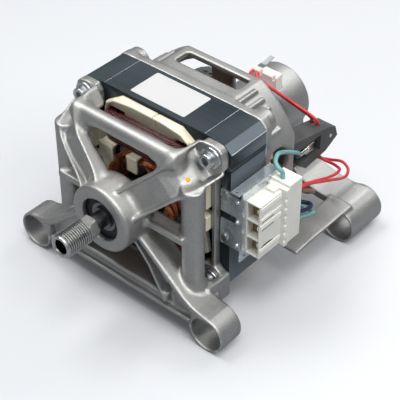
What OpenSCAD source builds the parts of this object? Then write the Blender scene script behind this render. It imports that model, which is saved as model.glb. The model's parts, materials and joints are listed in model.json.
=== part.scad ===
// Commutator motor of a front-loading washing machine, standing on its four mounting lugs.
// The shaft runs along Y with the belt pulley towards -Y, +Z is up, and the origin lies on
// the shaft axis in the middle of the pulley's ribs. All sizes are in millimetres.

/* [Pulley and shaft] */
// Distance between neighbouring pulley ribs
rib_pitch = 1.6; // [1.4:0.05:1.8]
// Number of pulley ribs
rib_count = 12; // [10:1:13]
// Diameter over the pulley ribs
pulley_d = 15.9; // [15:0.1:20]
// Depth of a pulley groove
groove_depth = 1.1; // [0.8:0.1:1.4]
// Bore of the pulley
pulley_bore_d = 9; // [8:0.1:10]
// Width across the flats of the pulley's collar
collar_flats = 14; // [13:0.1:16]
// Length of the pulley's collar
collar_len = 6; // [5:0.5:8]
// Diameter of the shaft between pulley and bearing
neck_d = 11; // [10:0.1:12]
// Length of the bare shaft between the collar and the hub face
neck_len = 6.4; // [5:0.2:9]
// Diameter of the shaft in the front bearing
shaft_d = 15; // [14:0.1:16]
// Diameter of the shaft in the armature
core_seat_d = 17; // [16.5:0.1:19]
// Diameter of the shaft in the rear bearing
rear_seat_d = 12; // [11:0.1:13]
// Diameter of the shaft end that carries the speed magnet
tail_d = 8; // [7:0.1:9]

/* [Bearings] */
// Outer diameter of the front bearing
front_bearing_od = 35; // [34:0.1:36]
// Width of the front bearing
front_bearing_w = 11; // [10:0.1:12]
// Outer diameter of the rear bearing
rear_bearing_od = 32; // [30:0.1:33]
// Width of the rear bearing
rear_bearing_w = 10; // [9:0.1:11]
// Diameter of a bearing ball
ball_d = 5.6; // [5:0.1:6]

/* [Rotor] */
// Diameter of the armature core
armature_d = 62.6; // [61:0.1:64]
// Gap between the armature and the poles
air_gap = 0.6; // [0.4:0.05:1]
// Width of an armature slot
slot_w = 5; // [4.2:0.1:5.6]
// Diameter of the armature's wound bar
winding_d = 3; // [2.4:0.1:3.2]
// Overhang of the armature winding at each end
overhang = 15; // [13:0.5:17]
// Diameter of the commutator
commutator_d = 34; // [30:0.1:36]
// Length of the commutator
commutator_len = 26; // [24:0.5:27]
// Number of commutator segments
segment_count = 26; // [20:2:30]
// Diameter of the speed magnet
magnet_d = 18; // [14:0.2:19]
// Length of the speed magnet
magnet_len = 14; // [10:0.5:16]

/* [Stator] */
// Width of the lamination stack
stack_w = 120; // [118:0.5:124]
// Height of the lamination stack
stack_h = 111; // [109:0.5:114]
// Length of the lamination stack
stack_len = 32; // [28:0.5:40]
// Width of a pole body
pole_w = 40; // [36:0.5:42]
// Thickness of the yoke beside the coils
yoke_t = 13; // [11:0.5:14]
// Diameter of the field coil's wire bundle
coil_d = 2.7; // [2.2:0.1:2.9]
// Step between neighbouring turns of a field coil
coil_step = 3.3; // [3.2:0.05:3.5]
// Step between the layers of a field coil
layer_step = 3.4; // [3.3:0.05:3.6]
// Thickness of the coil frames' flanges
flange_t = 4; // [3:0.2:5]
// Height of the front coil frame above the shaft axis
frame_top = 53.5; // [51:0.5:54]

/* [Brackets] */
// Distance from the hub's front face to the lamination stack
bracket_depth = 49.5; // [48:0.5:54]
// Outer diameter of the front hub
hub_d = 45.4; // [43:0.2:50]
// Length of the front hub
hub_len = 22; // [20:0.5:24]
// Diameter of the opening in the hub's front face
hub_hole_d = 28.8; // [26:0.2:31]
// Thickness of the lip in front of the front bearing
hub_lip = 4; // [3:0.2:6]
// Diameter of the front bracket's top bar
bar_d = 10.6; // [9:0.2:12]
// Diameter of the front bracket's side columns
column_d = 13.2; // [11:0.2:14]
// Height of the ribs along the edges of the arms
arm_rib_h = 2.2; // [1.6:0.1:4]
// Thickness of those ribs
arm_rib_t = 1.8; // [1.6:0.1:3]
// Thickness of the pads behind the through bolts
pad_t = 6.3; // [5:0.1:8]
// Length of the rear bracket's bell behind the stack
bell_len = 35; // [33:0.5:40]
// Diameter of the bell
bell_d = 125; // [122:0.5:127]
// Wall of the bell
bell_wall = 4; // [3:0.2:5]
// Outer diameter of the rear cup
cup_d = 45.8; // [44:0.2:48]
// Length of the rear cup behind the bell
cup_len = 61; // [59:0.5:66]

/* [Mounting lugs] */
// Distance between the left and right lug axes
lug_span = 146.6; // [142:0.2:150]
// Height of the shaft axis above the lug axes
lug_drop = 56.9; // [55:0.1:60]
// Outer diameter of a lug
lug_d = 26; // [25:0.1:28]
// Bore of a lug
lug_bore_d = 22.6; // [18:0.1:23]
// Length of a front lug
front_lug_len = 19; // [17:0.5:22]
// Length of a rear lug
rear_lug_len = 34; // [28:0.5:36]
// Distance from the hub's front face to the front lugs
front_lug_back = 11.3; // [10:0.1:13]
// Distance from the front lug mouths to the rear lug mouths
lug_base = 133.8; // [130:0.2:138]

/* [Fasteners] */
// Diameter of a through bolt
bolt_d = 5.8; // [5:0.1:6]
// Diameter of a through bolt's flange
bolt_flange_d = 14.2; // [12:0.1:14.6]
// Sideways place of the through bolts
bolt_x = 50.5; // [49.5:0.1:51]
// Height of the through bolts
bolt_z = 47.1; // [46:0.1:47.4]

/* [Brush gear] */
// Width of a carbon brush along the shaft
brush_w = 12; // [10:0.2:13]
// Thickness of a carbon brush
brush_t = 6; // [5:0.1:7]
// Length of a carbon brush
brush_len = 20; // [16:0.5:22]
// Wall of the brass brush guide
guide_wall = 0.8; // [0.6:0.1:1.2]
// Height of the brush holder
holder_h = 24; // [22:0.5:27]
// Distance from the shaft axis to the outer face of a brush holder
holder_x = 54; // [52:0.5:56]

/* [Connector] */
// Width of the connector's mouth
mouth_w = 10.6; // [9:0.1:12]
// Height of the connector
connector_h = 40; // [38:0.5:42]
// Length of the connector
connector_len = 35; // [33:0.5:36]
// Wall of the connector's mouth
mouth_wall = 1.2; // [1:0.1:1.6]
// Thickness of the steel bracket behind the connector
sheet_t = 1.2; // [0.8:0.1:1.5]
// Gap between the stack's side and the steel bracket's wall
bracket_reach = 9; // [8:0.2:11]

/* [Hidden] */
$fn = 48;
eps = 0.02;

// Clearances
fit = 0.02;          // pieces pressed or pushed together
slide_gap = 0.15;    // pieces that slide in each other
run_gap = 0.3;       // pieces that turn past each other
ball_gap = 0.12;     // balls in their races

// Stations along the shaft, measured from the middle of the pulley's ribs
rib_len = rib_pitch * rib_count;
pulley_front = -rib_len / 2 - 0.6;
collar_back = rib_len / 2 + collar_len;
hub_face = collar_back + neck_len;
hub_back = hub_face + hub_len;
front_bearing_y = hub_face + hub_lip;
stack_front = hub_face + bracket_depth;
stack_rear = stack_front + stack_len;
stack_mid = (stack_front + stack_rear) / 2;
pad_front = stack_front - pad_t;
bell_rear = stack_rear + bell_len;
rear_wall = 4;
wall_front = bell_rear - rear_wall;
cup_rear = bell_rear + cup_len;
commutator_y = bell_rear - 8.5;
brush_y = commutator_y + commutator_len - brush_w / 2 - 2;
cup_step = commutator_y + commutator_len + 2;
rear_bearing_y = cup_step + 3;
tacho_y = rear_bearing_y + rear_bearing_w + 4;
tacho_len = magnet_len + 6;
shaft_end = tacho_y + magnet_len + 4;

// Front bracket
hub_r = hub_d / 2;
half_w = stack_w / 2;
half_h = stack_h / 2;
bolt_angle = atan2(bolt_z, bolt_x);
bolt_s = norm([bolt_x, bolt_z]);
flange_r = bolt_flange_d / 2;
arm_half = flange_r + 1.4 + arm_rib_t / 2;
frame_y = hub_face + 26;
bar_z = half_h - bar_d / 2 - 0.6;
bar_s = (bar_z - arm_half * cos(bolt_angle)) / sin(bolt_angle);
bar_x = bar_s * cos(bolt_angle) - arm_half * sin(bolt_angle) + 1;
column_x = half_w - column_d / 2 - 2;
column_s = (column_x - arm_half * sin(bolt_angle)) / cos(bolt_angle);
column_top = column_s * sin(bolt_angle) - arm_half * cos(bolt_angle);
rail_out = half_w - 7;
rail_w = 6.5;
pad_r = min(half_w - bolt_x, half_h - bolt_z) - 0.2;
pad_in = 10.5;
lug_x = lug_span / 2;
lug_z = -lug_drop;
lug_r = lug_d / 2;
lug_front = hub_face + front_lug_back;
rear_lug_y = lug_front + lug_base;
foot_top = lug_z + lug_r - 0.1;
foot_t = 6;

// Rear bracket
bell_half_w = half_w - 3;
bell_half_h = half_h - 0.5;
spoke_half = 18;
spoke_half_v = 9;
cup_r = cup_d / 2;
boss_len = 12;
flange_len = 6;
side_hole_r = 12.5;
side_hole_y = stack_rear + 15.5;
side_hole_z = 12;
roof_half = 25;
roof_y = stack_rear + 15.5;
tongue_w = 17.3;
tongue_in = lug_x - 12.1;
tongue_t = 2.2;
tongue_len = 51;
crease_len = 31;
foot_plane = bell_half_w + 0.2;

// Seat of the speed sensor's terminal block in the cup
sensor_x0 = -8.4;
sensor_x1 = 12.2;
sensor_y0 = tacho_y + 0.4;
sensor_y1 = tacho_y + 7;
sensor_top = cup_r + 5.7;
sensor_foot = cup_r - 7.8;

// Stator
bore_r = armature_d / 2 + air_gap;
window_x = half_w - yoke_t;
window_z = half_h - yoke_t + 1;
shoe_t = 3.6;
coil_layers = 4;
coil_turns = 3;
coil_rings = 16;
coil_top = window_z - coil_d / 2 - 0.5;
coil_x = pole_w / 2 + coil_d / 2 + 1.1;
coil_y = stack_len / 2 + flange_t + coil_d / 2 + 0.4;
coil_corner = 4;
rear_frame_top = bell_half_h - bell_wall - 1.5;
frame_half = window_x - 0.5;
rim_t = 1.8;
rim_len = 2.6;
arm_end_r = norm([flange_r + 6, arm_half + arm_rib_t / 2 + 0.6]) + 0.6;  // room for the end of an arm
tower_w = 6;
tower_len = 23;
tower_z0 = 0;
tower_z1 = 22;

// Armature winding: every bar lies in the outer layer of one slot and the inner layer of the
// slot half a turn on, and the bars cross between the layers beyond the core
slot_count = 13;
slot_span = 6;
winding_outer = armature_d / 2 - 5.3;
winding_inner = winding_outer - winding_d - 1.5;
slot_floor = winding_inner - winding_d / 2 - 1;

// Brush gear
guide_w = brush_w + 2 * (guide_wall + slide_gap);
guide_h = brush_t + 2 * (guide_wall + slide_gap);
brush_in = commutator_d / 2 + run_gap;
brush_out = brush_in + brush_len;
brush_travel = 6;
guide_in = cup_r - 3;
guide_out = brush_out + brush_travel + 3;
holder_in = cup_r + 0.3;
holder_half = holder_h / 2;
holder_box = guide_w + 6;
holder_len = 50;
holder_side = 14;
slot_rear = bell_rear + 31;
slot_x = guide_out + 1.3;
slot_z0 = -5.2;
slot_z1 = 6.5;
wire_hole_y = bell_rear + 36;
wire_hole_x = [holder_x - 6.5, holder_x - 11];
wire_hole_r = 1.5;
holder_screw_x = 36;
holder_screw_z = holder_half + 3.7;
holder_screw_r = 1.8;

// Connector
wall_x = half_w + bracket_reach;
connector_x = wall_x + sheet_t;
connector_y = stack_front + 1.8;
connector_rear = connector_y + connector_len;
connector_z = 1;
rear_block_w = mouth_w + 3.6;
rear_block_y = connector_y + 20;
rear_top = connector_z + connector_h / 2 + 4;

// Leads: outer diameters and the points that they follow
tacho_wire_d = 2;
lead_d = 2.8;
terminal_y = brush_y + 5.5;
terminal_x = slot_x + 3.4;
terminal_d = 3.6;
tower_x = window_x;
lead_gap = 0.3;
tacho_route_a = [[-6.8, 175.4, 26.6], [-6.8, 172.6, 26.6], [-4.8, 169.8, 26.8], [-0.6, 168.8, 26.6],
    [10, 169.2, 25], [33, 171.4, 18.4], [46, 173.8, 12.8],
    [47.5, 174.5, 9], [47.5, 174.5, -9], [48.2, 174.8, -14], [53, 176.2, -17.6], [60.5, 177.2, -18.4],
    [67, 174.6, -17.8], [71, 160, -12.4], [73.8, 136, -1], [76, 115.5, 8.6], [76.6, 108.3, 9.6]];
tacho_route_b = [[-2.6, 175.4, 26.2], [-2.6, 173.4, 26.2], [-0.8, 171.6, 25.6], [4, 171.3, 24.2],
    [16, 172, 20.6], [37.6, 173.8, 14], [41.8, 174.3, 12], [43, 174.5, 8.6],
    [43, 174.5, -9], [43.6, 174.9, -14.6], [48, 177.2, -18.8], [55.5, 180.8, -19.2], [63.5, 182.6, -18],
    [70, 180, -19.2], [74, 171, -18], [76.4, 152, -8], [79, 124, 7.4], [80.4, 113, 12], [80.4, 108.3, 12.4]];
brush_route_right = [[51, 153.5, 0], [51, 150.6, 0], [52.2, 147, 1.4], [55.2, 143.6, 5.2], [59, 139.4, 11],
    [61.4, 131.6, 17.8], [65.4, 109.6, 32], [69, 101.6, 33], [73, 98.6, 31.8],
    [76, 99.4, 29.2], [76.4, 99.8, 25]];
brush_route_left = [[-51, 153.5, 0], [-51, 150.6, 0], [-52.2, 147, 1.6], [-55.4, 143.6, 5.6],
    [-59.4, 138.6, 10.8], [-61.4, 132, 15], [-60, 126.4, 17.4], [-51, 121.6, 18], [-47, 121.5, 18]];
brown_route = [[80, 108.3, 8.6], [80, 114.4, 8.2], [80.4, 121.6, 4.2], [79, 127.8, -0.8],
    [75.6, 131.8, -5.4], [71, 132, -8], [66.4, 129, -5.4], [62.6, 125.2, 1.4], [58.4, 123, 7.6],
    [51, 123.5, 11.3], [47, 123.5, 11.5]];
navy_route = [[80, 108.3, -5.6], [80, 115, -8.4], [80.2, 122, -10.6], [78.6, 127.6, -12],
    [74.8, 129.4, -13.4], [70.6, 127, -13], [66.4, 123, -9], [62.6, 121, -1.8], [58.6, 120, 3.4],
    [51, 119.1, 6.8], [47, 119, 7]];
teal_route = [[80, 108.3, -11], [80, 115, -12.6], [80.4, 123, -15.8], [79, 130, -19.2], [75, 133, -21.6],
    [70.6, 131, -21], [66.6, 125.6, -16.4], [63, 120, -8.4], [59.4, 116.9, 0.6], [51, 114.7, 4.4],
    [47, 114.5, 4.5]];

// A route whose ends are moved on to the places that the lead joins, and its points with them
function tied(p, a, b) = let (n = len(p) - 1)
    [for (i = [0 : n]) p[i] + (1 - i / n) * (a - p[0]) + i / n * (b - p[n])];
function terminal_end(side) = [side * terminal_x, terminal_y, 0];
function tacho_end(x, z) = [x, sensor_y0, cup_r + z];
function connector_end(x, z) = [connector_x + x, connector_rear + lead_gap, connector_z + z];
function tower_end(side, y, z) = [side * (tower_x + lead_gap), stack_rear + y, z];

// Solid of a flat outline in X and Z that runs along Y from y0 to y1
module prism(y0, y1) {
    translate([0, y1, 0]) rotate([90, 0, 0]) linear_extrude(y1 - y0) children();
}

// Solid turned about the shaft axis from an outline in radius and Y
module turned() {
    rotate([-90, 0, 0]) rotate_extrude($fn = 96) children();
}

// Round rods along the three axes
module rod_x(x0, x1, y, z, r) {
    translate([x0, y, z]) rotate([0, 90, 0]) cylinder(r = r, h = x1 - x0);
}
module rod_y(x, z, y0, y1, r) {
    translate([x, y0, z]) rotate([-90, 0, 0]) cylinder(r = r, h = y1 - y0);
}
module rod_z(x, y, z0, z1, r) {
    translate([x, y, z0]) cylinder(r = r, h = z1 - z0);
}

// Box from its two corners
module block(a, b) {
    translate(a) cube(b - a);
}

// Both sides of the motor, and all four corners
module both_sides() {
    children();
    mirror([1, 0, 0]) children();
}
module four_corners() {
    both_sides() {
        children();
        mirror([0, 0, 1]) children();
    }
}

// Tube of a given number of sides that follows a list of points
function unit(v) = v / norm(v);
function heading(p, i) = unit(p[min(i + 1, len(p) - 1)] - p[max(i - 1, 0)]);
function across(n, t) = unit(n - (n * t) * t);
function first_side(t) = across(abs(t[2]) < 0.8 ? [0, 0, 1] : [1, 0, 0], t);
function sides_along(p) = [for (i = 0, n = first_side(heading(p, 0)); i < len(p);
    i = i + 1, n = i < len(p) ? across(n, heading(p, i)) : n) n];
module tube(p, d, sides = 8) {
    n = sides_along(p);
    count = len(p);
    points = [for (i = [0 : count - 1], j = [0 : sides - 1])
        let (b = cross(heading(p, i), n[i]), a = 360 * j / sides)
        p[i] + d / 2 * (cos(a) * n[i] + sin(a) * b)];
    function at(i, j) = i * sides + j % sides;
    walls = [for (i = [0 : count - 2], j = [0 : sides - 1], k = [0, 1])
        k == 0 ? [at(i, j), at(i + 1, j + 1), at(i, j + 1)] : [at(i, j), at(i + 1, j), at(i + 1, j + 1)]];
    caps = [for (j = [1 : sides - 2], k = [0, 1])
        k == 0 ? [at(0, 0), at(0, j), at(0, j + 1)]
            : [at(count - 1, 0), at(count - 1, j + 1), at(count - 1, j)]];
    polyhedron(points, concat(walls, caps));
}

// Least gap between passes of one wound tube, measured on its points and half points
function halved(p) = [for (i = [0 : len(p) - 2], k = [0, 1]) k == 0 ? p[i] : (p[i] + p[i + 1]) / 2];
function self_gap(p, d, apart) = let (q = halved(p))
    min([for (i = [0 : len(q) - apart - 1]) min([for (j = [i + apart : len(q) - 1]) norm(q[i] - q[j])])]) - d;

// Front bracket
module arm_floor(front, drop) {
    polygon([[hub_r - 4, front + arm_rib_h], [48, front + arm_rib_h + 2.5], [56, front + arm_rib_h + 8],
        [60, front + arm_rib_h + 17], [bolt_s - flange_r - 0.6, pad_front],
        [bolt_s - flange_r - 0.6, pad_front + 1], [bolt_s - flange_r - 6, pad_front + 1],
        [55, front + arm_rib_h + 20], [50, front + arm_rib_h + 12], [45, front + arm_rib_h + drop],
        [hub_r - 4, front + arm_rib_h + drop]]);
}

module arm_rib(front, drop) {
    polygon([[hub_r - 4, front], [50, front + 4], [60, front + 8], [64.5, front + 14],
        [bolt_s + 1.5, pad_front - 1], [bolt_s + 1.5, pad_front + 1], [bolt_s - flange_r - 6, pad_front + 1],
        [55, front + 24], [50, front + 16], [45, front + arm_rib_h + drop + 1],
        [hub_r - 4, front + arm_rib_h + drop + 1]]);
}

// Plan of an arm's ribs, which spread to the corners of the pad
module rib_plan() {
    line = [[hub_r - 5, arm_half], [50, arm_half], [58, arm_half + 0.8], [bolt_s - 2.3, arm_half + 2.5]];
    last = len(line) - 1;
    for (side = [0, 1]) mirror([0, side])
        polygon(concat([for (q = line) q - [0, arm_rib_t / 2]],
            [for (i = [0 : last]) line[last - i] + [0, arm_rib_t / 2]]));
}

module upper_arm() {
    front = hub_face + 11.5;
    rotate([0, -bolt_angle, 0]) {
        linear_extrude(2 * arm_half, center = true) arm_floor(front, 5);
        intersection() {
            linear_extrude(4 * arm_half, center = true) arm_rib(front, 5);
            prism(hub_face, stack_front) rib_plan();
        }
    }
}

module lower_arm() {
    front = hub_face + 12;
    arm_end = norm([column_x, foot_top]);
    rotate([0, atan2(-foot_top, column_x), 0]) {
        linear_extrude(14, center = true)
            polygon([[hub_r - 4, front + 2], [arm_end, front + 4], [arm_end + 3, front + 24],
                [arm_end - 8, front + 18], [hub_r - 4, front + 9]]);
        for (side = [-1, 1])
            translate([0, 0, side * 6]) linear_extrude(2.4, center = true)
                polygon([[hub_r - 4, front], [arm_end, front + 2],
                    [arm_end, front + 16], [hub_r - 4, front + 10]]);
    }
}

module bar_gusset() {
    rib = [cos(bolt_angle), sin(bolt_angle)];
    end = [bar_x, bar_z];
    prism(frame_y - 3, frame_y + 4)
        polygon([end, end - 12 * rib, [bar_x - 9.4, bar_z - 6.4], [bar_x - 15.5, bar_z - 4]]);
}

module hub_outline() {
    fillet = 2;
    translate([0, hub_face + fillet]) square([hub_r, hub_len - fillet]);
    translate([0, hub_face]) square([hub_r - fillet, hub_len]);
    translate([hub_r - fillet, hub_face + fillet]) circle(fillet);
}

module pad_outline() {
    translate([bolt_x, bolt_z]) {
        circle(pad_r);
        translate([-pad_in, -pad_in]) square([pad_in, pad_in + pad_r]);
        translate([-pad_in, -pad_in]) square([pad_in + pad_r, pad_in]);
    }
}

module foot() {
    translate([0, 0, foot_top - foot_t]) linear_extrude(foot_t)
        polygon([[40, hub_face + 14], [lug_x, lug_front + 1], [lug_x, lug_front + front_lug_len - 1],
            [half_w + 2, hub_face + 37], [half_w - 1, stack_front - 1], [40, stack_front - 1]]);
    rod_y(lug_x, lug_z, lug_front, lug_front + front_lug_len, lug_r);
}

module bottom_beam() {
    x = lug_x - 4;
    difference() {
        block([-x, hub_face + 13, lug_z - 1], [x, hub_face + 31, foot_top - 1]);
        block([-x + 16, hub_face + 12, lug_z + 2], [x - 16, hub_face + 17, foot_top - 4]);
        block([-x + 16, hub_face + 20, lug_z - 2], [x - 16, hub_face + 32, foot_top - 4]);
    }
}

module front_bracket() {
    color("silver") difference() {
        union() {
            turned() hub_outline();
            both_sides() {
                upper_arm();
                lower_arm();
                rod_z(column_x, frame_y, foot_top - 2, column_top, column_d / 2);
                translate([column_x, frame_y, foot_top - 2])
                    cylinder(r1 = column_d / 2 + 3.4, r2 = column_d / 2, h = 13);
                bar_gusset();
                block([hub_r - 3, hub_face + 16, -2.2], [column_x, frame_y + 2, 2.2]);
                prism(pad_front, stack_front)
                    translate([rail_out - rail_w, -bolt_z]) square([rail_w, 2 * bolt_z]);
                foot();
            }
            four_corners() prism(pad_front, stack_front) pad_outline();
            rod_x(-bar_x, bar_x, frame_y, bar_z, bar_d / 2);
            bottom_beam();
        }
        turned() {
            translate([0, hub_face - 1]) square([hub_hole_d / 2, hub_len]);
            translate([0, front_bearing_y]) square([front_bearing_od / 2 + fit, hub_len]);
        }
        both_sides() {
            rod_y(lug_x, lug_z, lug_front - 1, lug_front + front_lug_len + 1, lug_bore_d / 2);
            rod_y(bolt_x, -bolt_z, frame_y + column_d / 2 + 2, pad_front, flange_r + 0.8);
        }
        four_corners() rod_y(bolt_x, bolt_z, pad_front - 1, stack_front + 1, bolt_d / 2 + slide_gap);
    }
}

// Rear bracket
module bell_outline(inset) {
    intersection() {
        square([2 * (bell_half_w - inset), 2 * (bell_half_h - inset)], center = true);
        circle(bell_d / 2 - inset, $fn = 96);
    }
}

module wall_window() {
    difference() {
        circle(bell_d / 2 - bell_wall - 5);
        circle(cup_r + 4);
        square([2 * bell_d, 2 * spoke_half], center = true);
        square([2 * spoke_half_v, 2 * bell_d], center = true);
        translate([0, -bell_half_h]) square([2 * bell_d, 14], center = true);
        translate([0, bell_half_h]) square([2 * bell_d, 14], center = true);
    }
}

module wing() {
    prism(rear_lug_y + 5, rear_lug_y + rear_lug_len - 3)
        polygon([[lug_x, foot_top], [46, foot_top + 2.5], [36, foot_top + 7], [26, foot_top + 18],
            [cup_r - 4, -12], [cup_r - 9, -17], [20, foot_top + 14], [31, foot_top + 1.5],
            [44, foot_top - 3], [lug_x, foot_top - 5.5]]);
    rod_y(lug_x, lug_z, rear_lug_y, rear_lug_y + rear_lug_len, lug_r);
}

// Outline in Y and Z that runs along X from x0 to x1
module sideways(x0, x1) {
    translate([x0, 0, 0]) rotate([90, 0, 90]) linear_extrude(x1 - x0) children();
}

module tongue() {
    top = foot_top + 1.2;
    root = rear_lug_y + 8;
    crease = rear_lug_y - crease_len;
    tip = rear_lug_y - tongue_len;
    sideways(tongue_in, tongue_in + tongue_w)
        polygon([[root, top], [root, top - tongue_t], [crease, top - tongue_t],
            [tip, top - tongue_t - 1], [tip, top - 1], [crease, top]]);
}

// The rear casting, which the four nodes below share
module rear_casting() {
    rib_r = 1.6;
    difference() {
        union() {
            prism(stack_rear, stack_rear + flange_len) difference() {
                stack_outline();
                bell_outline(bell_wall);
            }
            prism(stack_rear, bell_rear) difference() {
                bell_outline(0);
                bell_outline(bell_wall);
            }
            prism(wall_front, bell_rear) bell_outline(0);
            four_corners() rod_y(bolt_x, bolt_z, stack_rear, stack_rear + boss_len, pad_r);
            for (side = [0, 1], a = [58, 52, 46]) mirror([side, 0, 0])
                rod_y(min(bell_d / 2 * cos(a), bell_half_w), min(bell_d / 2 * sin(a), bell_half_h),
                    stack_rear + flange_len - 1, stack_rear + 24, rib_r);
            turned() translate([0, wall_front]) square([cup_r, cup_rear - wall_front]);
            both_sides() wing();
            tongue();
        }
        turned() {
            translate([0, wall_front - 1]) square([cup_r - 3, cup_step - wall_front + 1]);
            translate([0, cup_step - 1]) square([rear_bearing_od / 2 - 3, cup_len]);
            translate([0, rear_bearing_y]) square([rear_bearing_od / 2 + fit, cup_len]);
            translate([0, tacho_y - 2]) square([cup_r - 3, cup_len]);
        }
        prism(wall_front - 1, bell_rear + 1) wall_window();
        four_corners() rod_y(bolt_x, bolt_z, stack_rear - 1, stack_rear + boss_len - 3,
            bolt_d / 2 + slide_gap);
        both_sides() {
            rod_y(lug_x, lug_z, rear_lug_y - 1, rear_lug_y + rear_lug_len + 1, lug_bore_d / 2);
            rod_x(bell_half_w - 12, half_w + 10, side_hole_y, side_hole_z, side_hole_r);
            block([guide_in - 3, brush_y - guide_w / 2 - slide_gap, -guide_h / 2 - slide_gap],
                [cup_r + 3, brush_y + guide_w / 2 + slide_gap, guide_h / 2 + slide_gap]);
            for (side = [-1, 1])
                rod_y(holder_screw_x, side * holder_screw_z, wall_front - 1, bell_rear + 1,
                    holder_screw_r + slide_gap);
        }
        for (side = [0, 1]) mirror([0, 0, side])
            block([-roof_half, roof_y, bell_half_h - 12], [roof_half, wall_front - 3, half_h + 1]);
        block([sensor_x0 - slide_gap, sensor_y0 - slide_gap, sensor_foot - 1],
            [sensor_x1 + slide_gap, sensor_y1 + slide_gap, cup_r + 1]);
    }
}

// Everything past one side of a plane across X or Y
module beyond_x(x) {
    block([x, stack_rear + boss_len + eps, -stack_h], [lug_span, 2 * cup_rear, stack_h]);
}
module before_y(y) {
    block([-lug_span, 0, -stack_h], [lug_span, y, stack_h]);
}

module rear_bracket() {
    color("silver") difference() {
        rear_casting();
        before_y(wall_front);
        both_sides() beyond_x(foot_plane);
    }
}

module rear_bell() {
    color("silver") difference() {
        intersection() {
            rear_casting();
            before_y(wall_front);
        }
        both_sides() beyond_x(foot_plane);
    }
}

module rear_foot_right() {
    color("silver") intersection() {
        rear_casting();
        beyond_x(foot_plane);
    }
}

module rear_foot_left() {
    color("silver") intersection() {
        rear_casting();
        mirror([1, 0, 0]) beyond_x(foot_plane);
    }
}

// Stator
module stack_outline() {
    chamfer = 5;
    polygon([for (sx = [1, -1], p = [[40, half_h], [half_w - chamfer, half_h - 1.2],
            [half_w, half_h - 1.2 - chamfer],
            [half_w, -half_h + 1.2 + chamfer], [half_w - chamfer, -half_h + 1.2], [40, -half_h]])
        sx > 0 ? p : [-p[0], -p[1]]]);
}

module coil_window() {
    x0 = pole_w / 2;
    z0 = sqrt(bore_r * bore_r - x0 * x0) + shoe_t;
    tip = 30;
    polygon([[x0, window_z], [x0, z0], [27, z0 - 6.4], [tip, 15], [tip, -15], [27, -z0 + 6.4], [x0, -z0],
        [x0, -window_z], [window_x - 9.5, -window_z], [window_x, -window_z + 9.5],
        [window_x, window_z - 9.5], [window_x - 9.5, window_z]]);
}

module stator_stack() {
    color("darkslategray") difference() {
        union() {
            prism(stack_front, stack_rear) stack_outline();
            both_sides() for (z = [37.2, 39.2]) rod_y(half_w, z, stack_front, stack_rear - 0.5, 0.6);
        }
        prism(stack_front - 1, stack_rear + 1) {
            circle(bore_r, $fn = 96);
            coil_window();
            mirror([1, 0]) coil_window();
        }
        four_corners() rod_y(bolt_x, bolt_z, stack_front - 1, stack_rear + 1, bolt_d / 2 + slide_gap);
        for (z = rivet_z) rod_y(rivet_x, z, stack_front - 1, stack_front + 8, rivet_r + slide_gap);
    }
}

// Upper edge of a coil frame, drawn in by an inset
leg_x1 = coil_x + coil_turns * coil_step + coil_d / 2 + 0.5;
function frame_crown(top, inset) = let (
    half = [[frame_half - 10 - inset, 38], [leg_x1 + 1.8 - inset, window_z + 2.2 - 0.6 * inset],
        [24 - 0.5 * inset, top - inset]])
    concat(half, [for (i = [len(half) - 1 : -1 : 0]) [-half[i][0], half[i][1]]]);

module frame_outline(top) {
    leg_x0 = pole_w / 2 + 0.4;
    leg_z0 = coil_top - (coil_layers - 1) * layer_step - coil_d / 2 - 0.6;
    difference() {
        polygon([for (sz = [1, -1], p = concat(frame_crown(top, 0), [[-frame_half, 30]]))
            sz > 0 ? p : [-p[0], -p[1]]]);
        circle(bore_r + 1.5, $fn = 96);
        for (sx = [-1, 1], sz = [-1, 1]) scale([sx, sz])
            translate([leg_x0, leg_z0]) square([leg_x1 - leg_x0, window_z + 0.6 - leg_z0]);
    }
}

// Hook that keeps the armature winding off the coil, with a root below it where the bore is open
module coil_hook(x, w, root) {
    z1 = coil_top - (coil_layers - 1) * layer_step - coil_d / 2 - 0.5;
    y0 = stack_front - overhang - winding_d / 2 - 4;
    block([x, y0, z1 - 1.2], [x + w, stack_front - 1, z1]);
    block([x, y0, z1 - 11], [x + w, y0 + 1.8, z1]);
    if (root) block([x, stack_front - flange_t, z1 - 1.2], [x + w, stack_front - 1, bore_r + 2.2]);
}

module coil_frame_front() {
    color("cornsilk") difference() {
        union() {
            prism(stack_front - flange_t, stack_front) frame_outline(frame_top);
            for (sz = [0, 1]) mirror([0, 0, sz]) {
                prism(stack_front - flange_t - rim_len, stack_front - flange_t + eps) difference() {
                    polygon(frame_crown(frame_top, 0));
                    polygon(concat(frame_crown(frame_top, rim_t), [[-frame_half, 37], [frame_half, 37]]));
                }
                coil_hook(-27, 11, false);
                coil_hook(-4, 8, true);
            }
        }
        block([4.4, stack_front - flange_t - rim_len - 1, frame_top - 8],
            [5.2, stack_front + 1, frame_top + 1]);
        four_corners()
            rod_y(bolt_x, bolt_z, stack_front - flange_t - rim_len - 1, pad_front + 1.5, arm_end_r);
    }
}

module coil_frame_rear() {
    color("cornsilk") union() {
        prism(stack_rear, stack_rear + flange_t) intersection() {
            frame_outline(rear_frame_top);
            circle(bell_d / 2 - bell_wall - 0.6, $fn = 96);
        }
        both_sides() block([tower_x - tower_w, stack_rear + flange_t - 1, tower_z0],
            [tower_x, stack_rear + tower_len, tower_z1]);
        block([tower_x - tower_w, stack_rear + tower_len - 10.3, tower_z1 - 7.5],
            [tower_x + 5.2, stack_rear + tower_len - 4.7, tower_z1 + 2.5]);
    }
}

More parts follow.
